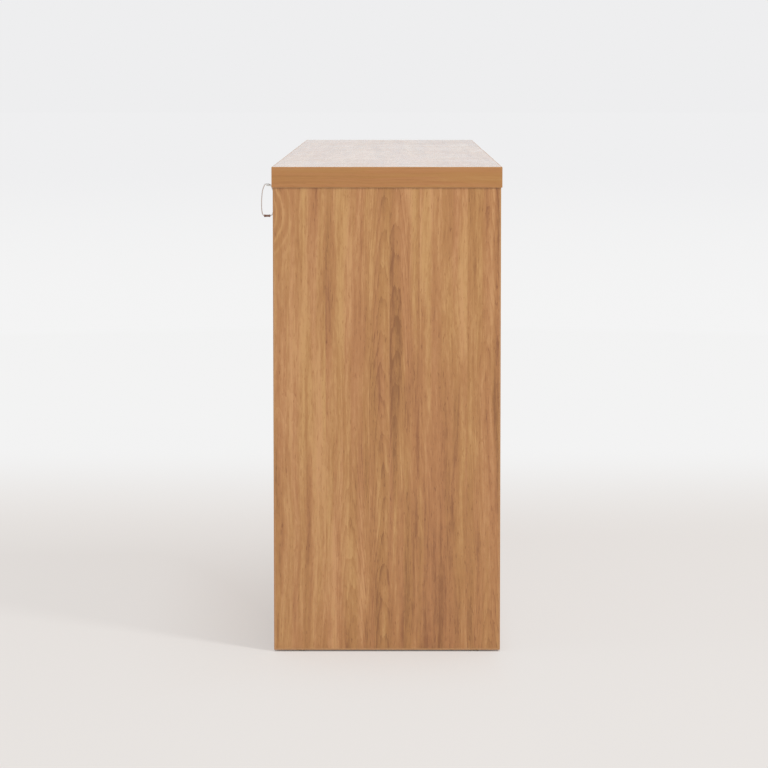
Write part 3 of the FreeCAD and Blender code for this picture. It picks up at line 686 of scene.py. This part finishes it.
def grown(piece: Object, tree: NodeTree, values: dict) -> None:
    """Runs a geometry tree on an object and keeps what it makes as the object's own mesh.

    Args:
        piece: the object.
        tree: the geometry tree.
        values: a value for each of its named inputs.
    """
    modifier = piece.modifiers.new("grown", "NODES")
    modifier.node_group = tree
    for item in tree.interface.items_tree:
        if item.item_type == "SOCKET" and item.in_out == "INPUT" and item.name in values:
            modifier[item.identifier] = values[item.name]
    graph = bpy.context.evaluated_depsgraph_get()
    evaluated = piece.evaluated_get(graph)
    mesh = bpy.data.meshes.new_from_object(evaluated, preserve_all_data_layers=True, depsgraph=graph)
    piece.modifiers.remove(modifier)
    old = piece.data
    piece.data = mesh
    mesh.name = piece.name
    bpy.data.meshes.remove(old)
    smoothed(mesh)


def show(tree: Group, shape: NodeSocket, material: Material) -> NodeTree:
    """Ends a geometry tree: the shape becomes one plain mesh of a material.

    Args:
        tree: the geometry tree.
        shape: what it made.
        material: the material.

    Returns:
        The bare tree.
    """
    real = tree.out("GeometryNodeRealizeInstances", {0: shape})
    painted = tree.out("GeometryNodeSetMaterial", {"Geometry": real, "Material": material})
    tree.feed(tree.result, {"Geometry": painted})
    return tree.tree


@dataclass
class Workshop:
    """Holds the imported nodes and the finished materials, and hands pieces over to the frame."""

    nodes: dict[str, Object]
    effects: Effects = field(default_factory=Effects)
    made: dict[str, Material] = field(default_factory=dict)
    boards: int = 0
    board_step: Triple = (0.37, 0.53, 0.29)
    ease: float = 0.7 * MM
    ease_segments: int = 2
    weld: float = 0.002 * MM
    flat_angle: float = math.radians(1.0)
    sharp_angle: float = math.radians(40)

    def finish(self, name: str) -> Material:
        """Gives the material of a finish by name.

        Args:
            name: the finish's name, which is also the material's.

        Returns:
            The material, made on its first use.
        """
        if name not in self.made:
            surface = Surface(name, self.effects)
            FINISHES[name].fill(surface)
            self.made[name] = surface.material
        return self.made[name]

    def dress(self, material: Material, *nodes: str) -> None:
        """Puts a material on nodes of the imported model.

        Args:
            material: the material.
            *nodes: the names of the nodes.
        """
        for node in nodes:
            mesh = self.nodes[node].data
            mesh.materials.clear()
            mesh.materials.append(material)
            LOG.info("dressed %s with %s", node, material.name)

    def board(self, node: str, finish: WoodFinish, grain: Grain, shift: Triple | None = None) -> None:
        """Puts wood figure on a board, with a stretch of veneer of its own.

        Args:
            node: the board's node.
            finish: its finish.
            grain: the way its grain runs.
            shift: how far its figure is moved, or None for a place of its own.
        """
        self.boards += 1
        move = shift or tuple(step * self.boards for step in self.board_step)
        surface = Surface("wood_" + node, self.effects)
        finish.fill(surface, surface.turned(grain, move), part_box(node))
        self.dress(surface.material, node)

    def hand_over(self, piece: Object, body: str, slot: str) -> None:
        """Lets a finished piece ride on its body.

        Args:
            piece: the piece, in place.
            body: the body that it moves with.
            slot: a material slot, not used.
        """
        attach(piece, body)
        LOG.info("added %s on %s", piece.name, body)

    def ease_pull(self, body: str, finish: str) -> None:
        """Replaces a body's pull by a copy with eased edges, as bending a drawn bar leaves them.

        Args:
            body: the body that it moves with.
            finish: the finish's name.
        """
        node = body + "_pull"
        form = bmesh.new()
        form.from_mesh(self.nodes[node].data)
        bmesh.ops.remove_doubles(form, verts=form.verts, dist=self.weld)
        bmesh.ops.dissolve_limit(form, angle_limit=self.flat_angle, verts=form.verts, edges=form.edges,
                                 delimit={"NORMAL"})
        sharp = [edge for edge in form.edges
                 if edge.is_manifold and edge.calc_face_angle(0.0) > self.sharp_angle]
        bmesh.ops.bevel(form, geom=sharp, offset=self.ease, offset_type="OFFSET", segments=self.ease_segments,
                        profile=0.5, affect="EDGES", clamp_overlap=True)
        bmesh.ops.triangulate(form, faces=[face for face in form.faces if len(face.verts) > 4])
        piece = mesh_piece(node + "_eased", form, self.finish(finish))
        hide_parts(node)
        self.hand_over(piece, body, "pull_metal")


@dataclass
class Fastener:
    """Screw heads, nails or dark discs of painted bore shade set on a list of places, made by one geometry
    tree.
    """

    name: str
    diameter: float
    height: float
    recess: float = 0.0
    sides: int = 18
    seed: int = 4
    taper: float = 0.78
    arm_width: float = 0.24
    arm_height: float = 1.1
    arm_lift: float = 0.85
    slot: str = "plated_steel"
    finish: str = "zinc_plate"
    places: list[tuple[Vector, Vector]] = field(default_factory=list)

    def put(self, where: Sequence[float], facing: Sequence[float]) -> None:
        """Adds one place, the middle of a head's underside, and the way that the head faces."""
        self.places.append((Vector(where), Vector(facing)))

    def _hollowed(self, tree: Group, head: NodeSocket) -> NodeSocket:
        """Cuts a cross recess into a head.

        Args:
            tree: the geometry tree.
            head: the plain head.

        Returns:
            The cut head.
        """
        given = tree.given
        long, short = given["Recess"], tree.times(given["Recess"], self.arm_width)
        deep = tree.times(given["Height"], self.arm_height)
        cross = tree.add("GeometryNodeMeshBoolean", operation="UNION")
        for sizes in ((long, short, deep), (short, long, deep)):
            cube = tree.out("GeometryNodeMeshCube", {"Size": tree.joined(*sizes)})
            lift = tree.out("ShaderNodeCombineXYZ", {2: tree.times(given["Height"], self.arm_lift)})
            arm = tree.out("GeometryNodeTransform", {"Geometry": cube, "Translation": lift})
            tree.feed(cross, {"Mesh 2": arm})
        feeds = {"Mesh 1": head, "Mesh 2": cross.outputs[0]}
        return tree.out("GeometryNodeMeshBoolean", feeds, operation="DIFFERENCE")

    def tree(self, material: Material) -> NodeTree:
        """Builds the geometry tree: one head, set on every point with a chance turn.

        Args:
            material: the heads' material.

        Returns:
            The tree.
        """
        sockets = {"Geometry": ("Geometry",), "Float": ("Diameter", "Height", "Recess"),
                   "Int": ("Sides", "Seed")}
        tree = Group(self.name + "_tree", "Geometry", sockets, {"Geometry": ("Geometry",)})
        given = tree.given
        radius = tree.times(given["Diameter"], 0.5)
        head = tree.out("GeometryNodeMeshCone", {
            "Vertices": given["Sides"], "Radius Top": tree.times(radius, self.taper), "Radius Bottom": radius,
            "Depth": given["Height"]})
        if self.recess > 0:
            head = self._hollowed(tree, head)
        facing = tree.out("GeometryNodeInputNamedAttribute", {"Name": "facing"}, data_type="FLOAT_VECTOR")
        aligned = tree.out("FunctionNodeAlignRotationToVector", {"Vector": facing}, axis="Z")
        chance = {2: 0.0, 3: math.pi, "Seed": given["Seed"]}
        turn = tree.add("FunctionNodeRandomValue", chance, data_type="FLOAT").outputs[1]
        twist = tree.out("FunctionNodeAxisAngleToRotation", {"Axis": (0.0, 0.0, 1.0), "Angle": turn})
        rotation = tree.out("FunctionNodeRotateRotation", {0: aligned, 1: twist}, rotation_space="LOCAL")
        feeds = {"Points": given["Geometry"], "Instance": head, "Rotation": rotation}
        return show(tree, tree.out("GeometryNodeInstanceOnPoints", feeds), material)

    def build(self, shop: Workshop, body: str) -> None:
        """Makes the heads as one plain mesh.

        Args:
            shop: the workshop.
            body: the body that carries them.
        """
        points = bpy.data.meshes.new(self.name)
        points.from_pydata([tuple(where + way * (self.height / 2)) for where, way in self.places], [], [])
        facing = points.attributes.new("facing", "FLOAT_VECTOR", "POINT")
        for index, (_, way) in enumerate(self.places):
            facing.data[index].vector = way
        piece = placed(self.name, points)
        grown(piece, self.tree(shop.finish(self.finish)), {
            "Diameter": self.diameter, "Height": self.height, "Recess": self.recess, "Sides": self.sides,
            "Seed": self.seed})
        shop.hand_over(piece, body, self.slot)


@dataclass(frozen=True)
class Fade:
    """A soft change of the floor's painted glow along one of its axes, X or Y as 0 or 1."""

    axis: int
    begin: float
    end: float
    first: float
    last: float


@dataclass
class Studio:
    """The floor, the light and the camera."""

    floor_half: float = 60.0
    floor_colour: Colour = paint(232, 228, 224)
    floor_roughness: float = 0.7
    floor_gloss: float = 0.2
    # The floor's glow is painted light: it shines to the camera and in gloss, which lightens the floor and
    # weakens the sideboard's shadows, more so away from the sideboard.
    near_glow: Colour = paint(232, 228, 225)
    sweep_colour: Colour = paint(244, 244, 244)
    far_colour: Colour = paint(239, 239, 240)
    sky_colour: Colour = paint(238, 238, 239)
    fades: tuple[Fade, ...] = (
        Fade(0, 0.85, -0.75, 0.50, 0.97), Fade(0, 0.92, 1.3, 0.50, 0.76),
        Fade(1, -0.15, -0.50, 0.50, 0.76), Fade(1, 0.10, 0.24, 0.0, 0.85))
    whole_glow: Pair = (2.6, 5.0)
    sweep_tone: Pair = (-0.3, -1.6)
    far_tone: Pair = (3.0, 22.0)
    # Painted shade: under the sideboard's foot the floor's glow falls to this share, so the floor is darker
    # there.
    shade_under: float = 0.30
    foot_half: Pair = (0.8975, 0.198)
    ambient: float = 0.62
    lamps: tuple[tuple[str, float, float, Triple], ...] = (
        ("key", 130.0, 0.75, (3.1, 3.1, 3.9)), ("fill", 90.0, 4.0, (1.5, -6.0, 2.5)))
    lamp_aim: Triple = (0.6, 0.0, 0.4)
    camera_place: Triple = (5.37, 0.01389, 1.01311)
    camera_pitch: float = 4.0074
    camera_heading: float = 90.0
    camera_lens: float = 121.124
    camera_shift: Pair = (-0.01427, -0.17)
    view_end: float = 200.0

    def build(self) -> None:
        """Makes the whole studio."""
        bpy.context.scene.view_settings.view_transform = "Standard"
        self._floor()
        self._world()
        self._lamps()
        self._camera()

    def _floor(self) -> None:
        """Makes the pale floor, which turns into the white sweep behind the sideboard, with a painted glow that
        lightens the floor and its shadows, and a painted shade under the sideboard's foot.
        """
        half = self.floor_half
        corners = [(-half, -half, 0), (half, -half, 0), (half, half, 0), (-half, half, 0)]
        mesh = bpy.data.meshes.new("studio_floor")
        mesh.from_pydata(corners, [], [(0, 1, 2, 3)])
        floor = placed("studio_floor", mesh)
        tree = Surface("studio_floor")
        where = tree.here()
        parts = tree.parts(where)
        away = tree.arrow("LENGTH", where)
        # Painted light: the floor glows to the camera and in gloss, more strongly away from the sideboard,
        # which lightens it and weakens the shadows on it.
        far = glow = tree.span(away, *self.whole_glow)
        for fade in self.fades:
            level = tree.span(parts[fade.axis], fade.begin, fade.end, fade.first, fade.last)
            glow = tree.sum("MAXIMUM", glow, level)
        # Painted shade: inside the sideboard's footprint the glow falls to a share, which darkens the floor
        # under it.
        inside = [tree.sum("LESS_THAN", tree.sum("ABSOLUTE", parts[axis]), reach)
                  for axis, reach in enumerate(self.foot_half)]
        glow = tree.times(glow, tree.span(tree.times(*inside), 0.0, 1.0, 1.0, self.shade_under))
        tone = tree.sum("MAXIMUM", tree.span(parts[0], *self.sweep_tone), far)
        colour = tree.mix(tone, self.near_glow, self.sweep_colour)
        colour = tree.mix(tree.span(away, *self.far_tone), colour, self.far_colour)
        tree.feed(tree.shader, {"Base Color": self.floor_colour, "Roughness": self.floor_roughness,
                                "Specular IOR Level": self.floor_gloss})
        shine = tree.out("ShaderNodeEmission", {"Color": colour, "Strength": 1.0})
        both = {0: tree.times(glow, tree.seen()), 1: tree.shader.outputs[0], 2: shine}
        tree.feed(tree.output, {"Surface": tree.out("ShaderNodeMixShader", both)})
        mesh.materials.append(tree.material)

    def _world(self) -> None:
        """Makes the even light of the room and the white that the camera and gloss see."""
        world = bpy.data.worlds.new("studio")
        bpy.context.scene.world = world
        world.use_nodes = True
        world.node_tree.nodes.clear()
        tree = Tree(world.node_tree)
        colour = tree.mix(tree.seen(), (self.ambient, self.ambient, self.ambient, 1.0), self.sky_colour)
        back = tree.out("ShaderNodeBackground", {"Color": colour, "Strength": 1.0})
        tree.add("ShaderNodeOutputWorld", {"Surface": back})

    def _lamps(self) -> None:
        """Hangs soft square lamps, of a power in watts and a side in metres, that point at the sideboard."""
        for name, power, side, place in self.lamps:
            lamp = bpy.data.lights.new(name, "AREA")
            lamp.shape = "SQUARE"
            lamp.size = side
            lamp.energy = power
            holder = placed(name + "_lamp", lamp)
            holder.location = place
            holder.rotation_euler = (Vector(self.lamp_aim) - Vector(place)).to_track_quat("-Z", "Y").to_euler()
            holder.visible_glossy = False

    def _camera(self) -> None:
        """Sets the camera, which looks along the length at the right end."""
        data = bpy.data.cameras.new("camera")
        data.lens = self.camera_lens
        data.shift_x, data.shift_y = self.camera_shift
        data.clip_end = self.view_end
        camera = placed("camera", data)
        camera.location = self.camera_place
        camera.rotation_euler = (math.radians(90.0 - self.camera_pitch), 0.0, math.radians(self.camera_heading))
        bpy.context.scene.camera = camera


@dataclass
class CaseWork:
    """The fixed boards, their bands and the small fittings on them."""

    shop: Workshop
    end_figures: tuple[Triple, Triple] = ((-0.885, 0.210, -0.770), (0.92, 0.31, 0.24))
    band_figures: tuple[Triple, Triple] = ((0.3, 0.9, 0.2), (0.6, 0.4, 0.7))
    bore_pitch: float = 32 * MM
    bores_each_way: int = 4
    pin_radius: float = 4 * MM
    shelf_room: float = 1 * MM
    band_thickness: float = 2 * MM
    nail_pitch: float = 145 * MM
    nail_from_edge: float = 12 * MM
    angle_screw_from_corner: float = 19 * MM
    angle_screw_from_side: float = 10 * MM
    sheet: float = 2 * MM
    hinge_plate: float = 2.5 * MM
    hinge_middle: float = 26 * MM
    hinge_screw: float = 18 * MM
    strike_screw: Pair = (12 * MM, 8 * MM)
    strike_half: float = 6.5 * MM

    def build(self) -> None:
        """Dresses the case and adds its fittings."""
        shop = self.shop
        shop.board("top_board", TOP_LAMINATE, Grain.LENGTH)
        shop.board("right_end_panel", SHADED_END_LAMINATE, Grain.HEIGHT, self.end_figures[0])
        shop.board("left_end_panel", LAMINATE, Grain.HEIGHT, self.end_figures[1])
        for node in ("right_partition", "left_partition"):
            shop.board(node, INNER_LAMINATE, Grain.HEIGHT)
        for node in ("bottom_panel", "right_shelf", "left_shelf", "front_plinth", "rear_plinth"):
            shop.board(node, INNER_LAMINATE, Grain.LENGTH)
        shop.board("plinth_cross", INNER_LAMINATE, Grain.DEPTH)
        shop.board("back_panel", BACK_FOIL, Grain.HEIGHT)
        shop.board("end_panel_bands", BAND, Grain.HEIGHT)
        self._top_bands()
        shop.dress(shop.finish("zinc_plate"), "shelf_pins", "fixing_angles", "hinge_arms", "hinge_plates",
                   "lock_strikes", "outer_runners")
        shop.dress(shop.finish("glide_plastic"), "foot_glides")
        shop.dress(shop.finish("bumper_felt"), "front_bumpers")
        self._bores()
        self._back_nails()
        self._case_screws()

    def _top_bands(self) -> None:
        """Gives the bands of the top grain that turns with them at each corner."""
        tree = Surface("wood_top_edge_bands", self.shop.effects)
        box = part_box("top_edge_bands")
        along = tree.turned(Grain.LENGTH, self.band_figures[0])
        across = tree.turned(Grain.DEPTH, self.band_figures[1])
        reach = tree.sum("ABSOLUTE", tree.parts(tree.here())[0])
        on_end = tree.sum("GREATER_THAN", reach, box[1].x - self.band_thickness)
        place = tree.add("ShaderNodeMix", {0: on_end, 4: along, 5: across}, data_type="VECTOR").outputs[1]
        BAND.fill(tree, place, box)
        self.shop.dress(tree.material, "top_edge_bands")

    def _bores(self) -> None:
        """Sets the rows of spare shelf bores in the end panels and the partitions, as thin dark discs of
        painted shade.
        """
        bores = Fastener("shelf_bores", diameter=5 * MM, height=0.12 * MM, sides=16,
                         slot="inner_laminate", finish="bore_shade")
        low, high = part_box("shelf_pins")
        rows = (low.y + self.pin_radius, high.y - self.pin_radius)
        steps = [way * step for step in range(1, self.bores_each_way + 1) for way in WAYS]
        for side in Side:
            inner, outer = sorted(abs(corner.x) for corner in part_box(side.word + "_shelf"))
            faces = ((outer + self.shelf_room, -side.value), (inner - self.shelf_room, side.value))
            for (face, facing), row, step in product(faces, rows, steps):
                height = (low.z + high.z) / 2 + step * self.bore_pitch
                bores.put((side.value * face, row, height), (facing, 0, 0))
        bores.build(self.shop, "case")

    def _back_nails(self) -> None:
        """Sets the small nail heads that hold the back to the partitions and the bottom."""
        nails = Fastener("back_nails", diameter=4.2 * MM, height=0.6 * MM, sides=12, seed=9)
        low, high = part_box("back_panel")
        count = int((high.z - low.z) / self.nail_pitch)
        for side in Side:
            across = middle_of(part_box(side.word + "_partition")).x
            for step in range(1, count):
                nails.put((across, high.y, low.z + step * (high.z - low.z) / count), BACKWARD)
        count = int((high.x - low.x) / self.nail_pitch)
        for step in range(1, count):
            across = low.x + step * (high.x - low.x) / count
            nails.put((across, high.y, low.z + self.nail_from_edge), BACKWARD)
        nails.build(self.shop, "case")

    def _case_screws(self) -> None:
        """Sets the screws of the angles, the hinge plates and the strikes."""
        screws = Fastener("case_screws", diameter=7 * MM, height=1.1 * MM, recess=4 * MM)
        low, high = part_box("fixing_angles")
        rows = (low.y + self.angle_screw_from_side, high.y - self.angle_screw_from_side)
        corner = self.angle_screw_from_corner
        for side, top, row in product(WAYS, (high.z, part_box("bottom_panel")[0].z), rows):
            screws.put((side * (high.x - self.sheet), row, top - corner), (-side, 0, 0))
            screws.put((side * (high.x - corner), row, top - self.sheet), DOWNWARD)
        low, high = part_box("hinge_plates")
        face, across = high.x - self.hinge_plate, (low.y + high.y) / 2
        heights = (low.z + self.hinge_middle, high.z - self.hinge_middle)
        for side, middle, way in product(WAYS, heights, WAYS):
            screws.put((side * face, across, middle + way * self.hinge_screw), (-side, 0, 0))
        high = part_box("lock_strikes")[1]
        inward, forward = self.strike_screw
        for side, way in product(WAYS, WAYS):
            across = side * (high.x - inward) + way * self.strike_half
            screws.put((across, high.y - forward, high.z - self.sheet), DOWNWARD)
        screws.build(self.shop, "case")


@dataclass
class DoorSet:
    """One door with its pull, hinges and lock."""

    shop: Workshop
    side: Side
    figure: Triple = (0.0, 0.31, 0.12)
    cup_from_end: float = 30 * MM
    ear_screw_from_middle: float = 24 * MM
    pull_centres: float = 128 * MM

    def build(self) -> None:
        """Dresses the door and adds its screws."""
        shop = self.shop
        word = self.side.word
        door = word + "_door"
        shop.board(door + "_panel", LAMINATE, Grain.HEIGHT, self.figure)
        steel = (word + tail for tail in ("_hinge_cups", "_hinge_pins", "_hinge_links", "_lock_cam"))
        shop.dress(shop.finish("zinc_plate"), *steel)
        shop.dress(shop.finish("lock_nickel"), word + "_lock_housing", word + "_lock_plug")
        shop.ease_pull(door, "pull_bar_upright")
        self._screws()

    def _screws(self) -> None:
        """Sets the screws of the hinge cups and the pull, and the cam's bolt."""
        word = self.side.word
        screws = Fastener(word + "_door_screws", diameter=6.6 * MM, height=1.0 * MM, recess=3.8 * MM, seed=6)
        low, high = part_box(word + "_hinge_cups")
        for cup, way in product((low.z + self.cup_from_end, high.z - self.cup_from_end), WAYS):
            screws.put(((low.x + high.x) / 2, high.y, cup + way * self.ear_screw_from_middle), BACKWARD)
        pull = middle_of(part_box(word + "_door_pull"))
        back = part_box(word + "_door_panel")[1].y
        for way in WAYS:
            screws.put((pull.x, back, pull.z + way * self.pull_centres / 2), BACKWARD)
        screws.build(self.shop, word + "_door")
        bolt = Fastener(word + "_cam_bolt", diameter=8 * MM, height=1.6 * MM, recess=4.4 * MM, sides=6, seed=2)
        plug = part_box(word + "_lock_plug")
        bolt.put((middle_of(plug).x, plug[1].y, middle_of(plug).z), BACKWARD)
        bolt.build(self.shop, word + "_lock_plug")


@dataclass
class KeySet:
    """The key in the right door's lock, with its ring and sleeve.

    The ring's corners are shares of its width and its drop, from the crest round, and
    each has a share of the width as the radius of its bend. The sleeve's stations are
    shares of its half length and its radius, and the bore closes it at both ends.
    """

    shop: Workshop
    wire: float = 1.0 * MM
    profile_sides: int = 16
    bend_steps: int = 8
    corner_shares: tuple[Pair, ...] = (
        (-0.205, 0.0), (0.190, 0.0), (0.365, 0.155), (0.452, 0.46), (0.440, 0.85),
        (0.335, 1.0), (-0.285, 1.0), (-0.530, 0.754), (-0.495, 0.321))
    bend_shares: tuple[float, ...] = (0.17, 0.2, 0.6, 0.9, 0.3, 0.2, 0.2, 0.5, 0.5)
    sleeve_after: int = 5
    width: float = 27 * MM
    drop: float = 62.3 * MM
    stand_back: float = 0.3 * MM
    sleeve_sides: int = 24
    sleeve_bore: float = 1.04
    sleeve_shares: tuple[Pair, ...] = (
        (-1.0, 0.86), (-0.93, 1.0), (-0.62, 1.0), (-0.45, 0.86),
        (0.45, 0.86), (0.62, 1.0), (0.93, 1.0), (1.0, 0.86))

    def build(self) -> None:
        """Dresses the key and makes the smooth ring and sleeve."""
        self.shop.dress(self.shop.finish("key_nickel"), "key")
        self._ring()
        self._sleeve()

    def _ring(self) -> None:
        """Makes the wire ring along its bent outline."""
        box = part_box("key_ring")
        crest = box[1].z - self.wire
        shares = self.corner_shares
        sleeve_share = (shares[self.sleeve_after][0] + shares[self.sleeve_after + 1][0]) / 2
        rim = middle_of(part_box("ring_sleeve")).y + sleeve_share * self.width + self.stand_back
        corners = [Vector((middle_of(box).x, rim - out * self.width, crest - down * self.drop))
                   for out, down in shares]
        count = len(corners)
        mesh = bpy.data.meshes.new("key_ring_wire")
        edges = [(index, (index + 1) % count) for index in range(count)]
        mesh.from_pydata([tuple(corner) for corner in corners], edges, [])
        bend = mesh.attributes.new("bend", "FLOAT", "POINT")
        for index, corner in enumerate(corners):
            before = (corners[index - 1] - corner).normalized()
            after = (corners[(index + 1) % count] - corner).normalized()
            bend.data[index].value = self.bend_shares[index] * self.width * math.tan(before.angle(after) / 2)
        piece = placed("key_ring_wire", mesh)
        values = {"Wire Radius": self.wire, "Sides": self.profile_sides, "Steps": self.bend_steps}
        grown(piece, self._wire_tree(self.shop.finish("ring_wire")), values)
        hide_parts("key_ring")
        self.shop.hand_over(piece, "key_ring", "ring_wire")

    @staticmethod
    def _wire_tree(material: Material) -> NodeTree:
        """Builds the geometry tree that rounds a loop of edges and gives it the wire's thickness.

        Args:
            material: the wire's material.

        Returns:
            The tree.
        """
        sockets = {"Geometry": ("Geometry",), "Float": ("Wire Radius",), "Int": ("Sides", "Steps")}
        tree = Group("wire_loop", "Geometry", sockets, {"Geometry": ("Geometry",)})
        given = tree.given
        loop = tree.out("GeometryNodeMeshToCurve", {"Mesh": given["Geometry"]})
        bend = tree.out("GeometryNodeInputNamedAttribute", {"Name": "bend"}, data_type="FLOAT")
        fillet = {"Curve": loop, "Radius": bend, "Count": given["Steps"], "Limit Radius": True}
        rounded = tree.out("GeometryNodeFilletCurve", fillet, mode="POLY")
        circle = {"Resolution": given["Sides"], "Radius": given["Wire Radius"]}
        profile = tree.out("GeometryNodeCurvePrimitiveCircle", circle)
        wire = tree.out("GeometryNodeCurveToMesh", {"Curve": rounded, "Profile Curve": profile})
        return show(tree, wire, material)

    def _sleeve(self) -> None:
        """Turns the sleeve: a short tube with rolled ends and a pressed waist."""
        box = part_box("ring_sleeve")
        middle = middle_of(box)
        radius, half = (box[1].x - box[0].x) / 2, (box[1].y - box[0].y) / 2
        bore = self.wire * self.sleeve_bore
        stations = [(along, share * radius) for along, share in self.sleeve_shares]
        form = bmesh.new()
        rings = []
        for along, reach in ((-1.0, bore), *stations, (1.0, bore)):
            ring = []
            for step in range(self.sleeve_sides):
                angle = 2 * math.pi * step / self.sleeve_sides
                ring.append(form.verts.new((middle.x + reach * math.cos(angle), middle.y + along * half,
                                            middle.z + reach * math.sin(angle))))
            rings.append(ring)
        for index, ring in enumerate(rings):
            following = rings[(index + 1) % len(rings)]
            for step in range(self.sleeve_sides):
                other = (step + 1) % self.sleeve_sides
                form.faces.new((ring[step], ring[other], following[other], following[step]))
        bmesh.ops.recalc_face_normals(form, faces=form.faces)
        piece = mesh_piece("ring_sleeve_turned", form, self.shop.finish("ring_sleeve"))
        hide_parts("ring_sleeve")
        self.shop.hand_over(piece, "key_ring", "sleeve_copper")


@dataclass
class DrawerSet:
    """One drawer with its pull, box and sliding members."""

    shop: Workshop
    number: int
    figure: Triple = (0.9, 0.31, 0.12)
    pull_centres: float = 128 * MM
    runner_screws: int = 4
    runner_web: float = 1.5 * MM

    def build(self) -> None:
        """Dresses the drawer and adds its screws."""
        shop = self.shop
        name = "drawer_" + str(self.number)
        shop.board(name + "_front", LAMINATE, Grain.HEIGHT, self.figure)
        shop.board(name + "_box", DRAWER_FOIL, Grain.DEPTH)
        shop.board(name + "_bottom", DRAWER_FOIL, Grain.DEPTH)
        shop.dress(shop.finish("zinc_plate"), name + "_inner_runners", name + "_middle_runners")
        shop.ease_pull(name, "pull_bar_level")
        self._screws(name)

    def _screws(self, name: str) -> None:
        """Sets the screws of the pull and the inner runner members.

        Args:
            name: the drawer's body.
        """
        screws = Fastener(name + "_screws", diameter=6.4 * MM, height=1.0 * MM, recess=3.6 * MM,
                          seed=10 + self.number)
        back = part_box(name + "_front")[1].y
        level = middle_of(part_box(name + "_pull")).z
        for way in WAYS:
            screws.put((way * self.pull_centres / 2, back, level), BACKWARD)
        low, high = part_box(name + "_inner_runners")
        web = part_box(name + "_box")[1].x + self.runner_web
        for way, step in product(WAYS, range(self.runner_screws)):
            along = low.y + (high.y - low.y) * (step + 0.5) / self.runner_screws
            screws.put((way * web, along, (low.z + high.z) / 2), (way, 0, 0))
        screws.build(self.shop, name)


def main() -> None:
    """Dresses the whole sideboard and sets up its studio."""
    logging.basicConfig(level=logging.INFO, format="%(message)s")
    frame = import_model()
    shop = Workshop(frame["nodes"])
    CaseWork(shop).build()
    for side in Side:
        DoorSet(shop, side).build()
    KeySet(shop).build()
    for number in (1, 2, 3):
        DrawerSet(shop, number).build()
    Studio().build()


if __name__ == "__main__":
    main()
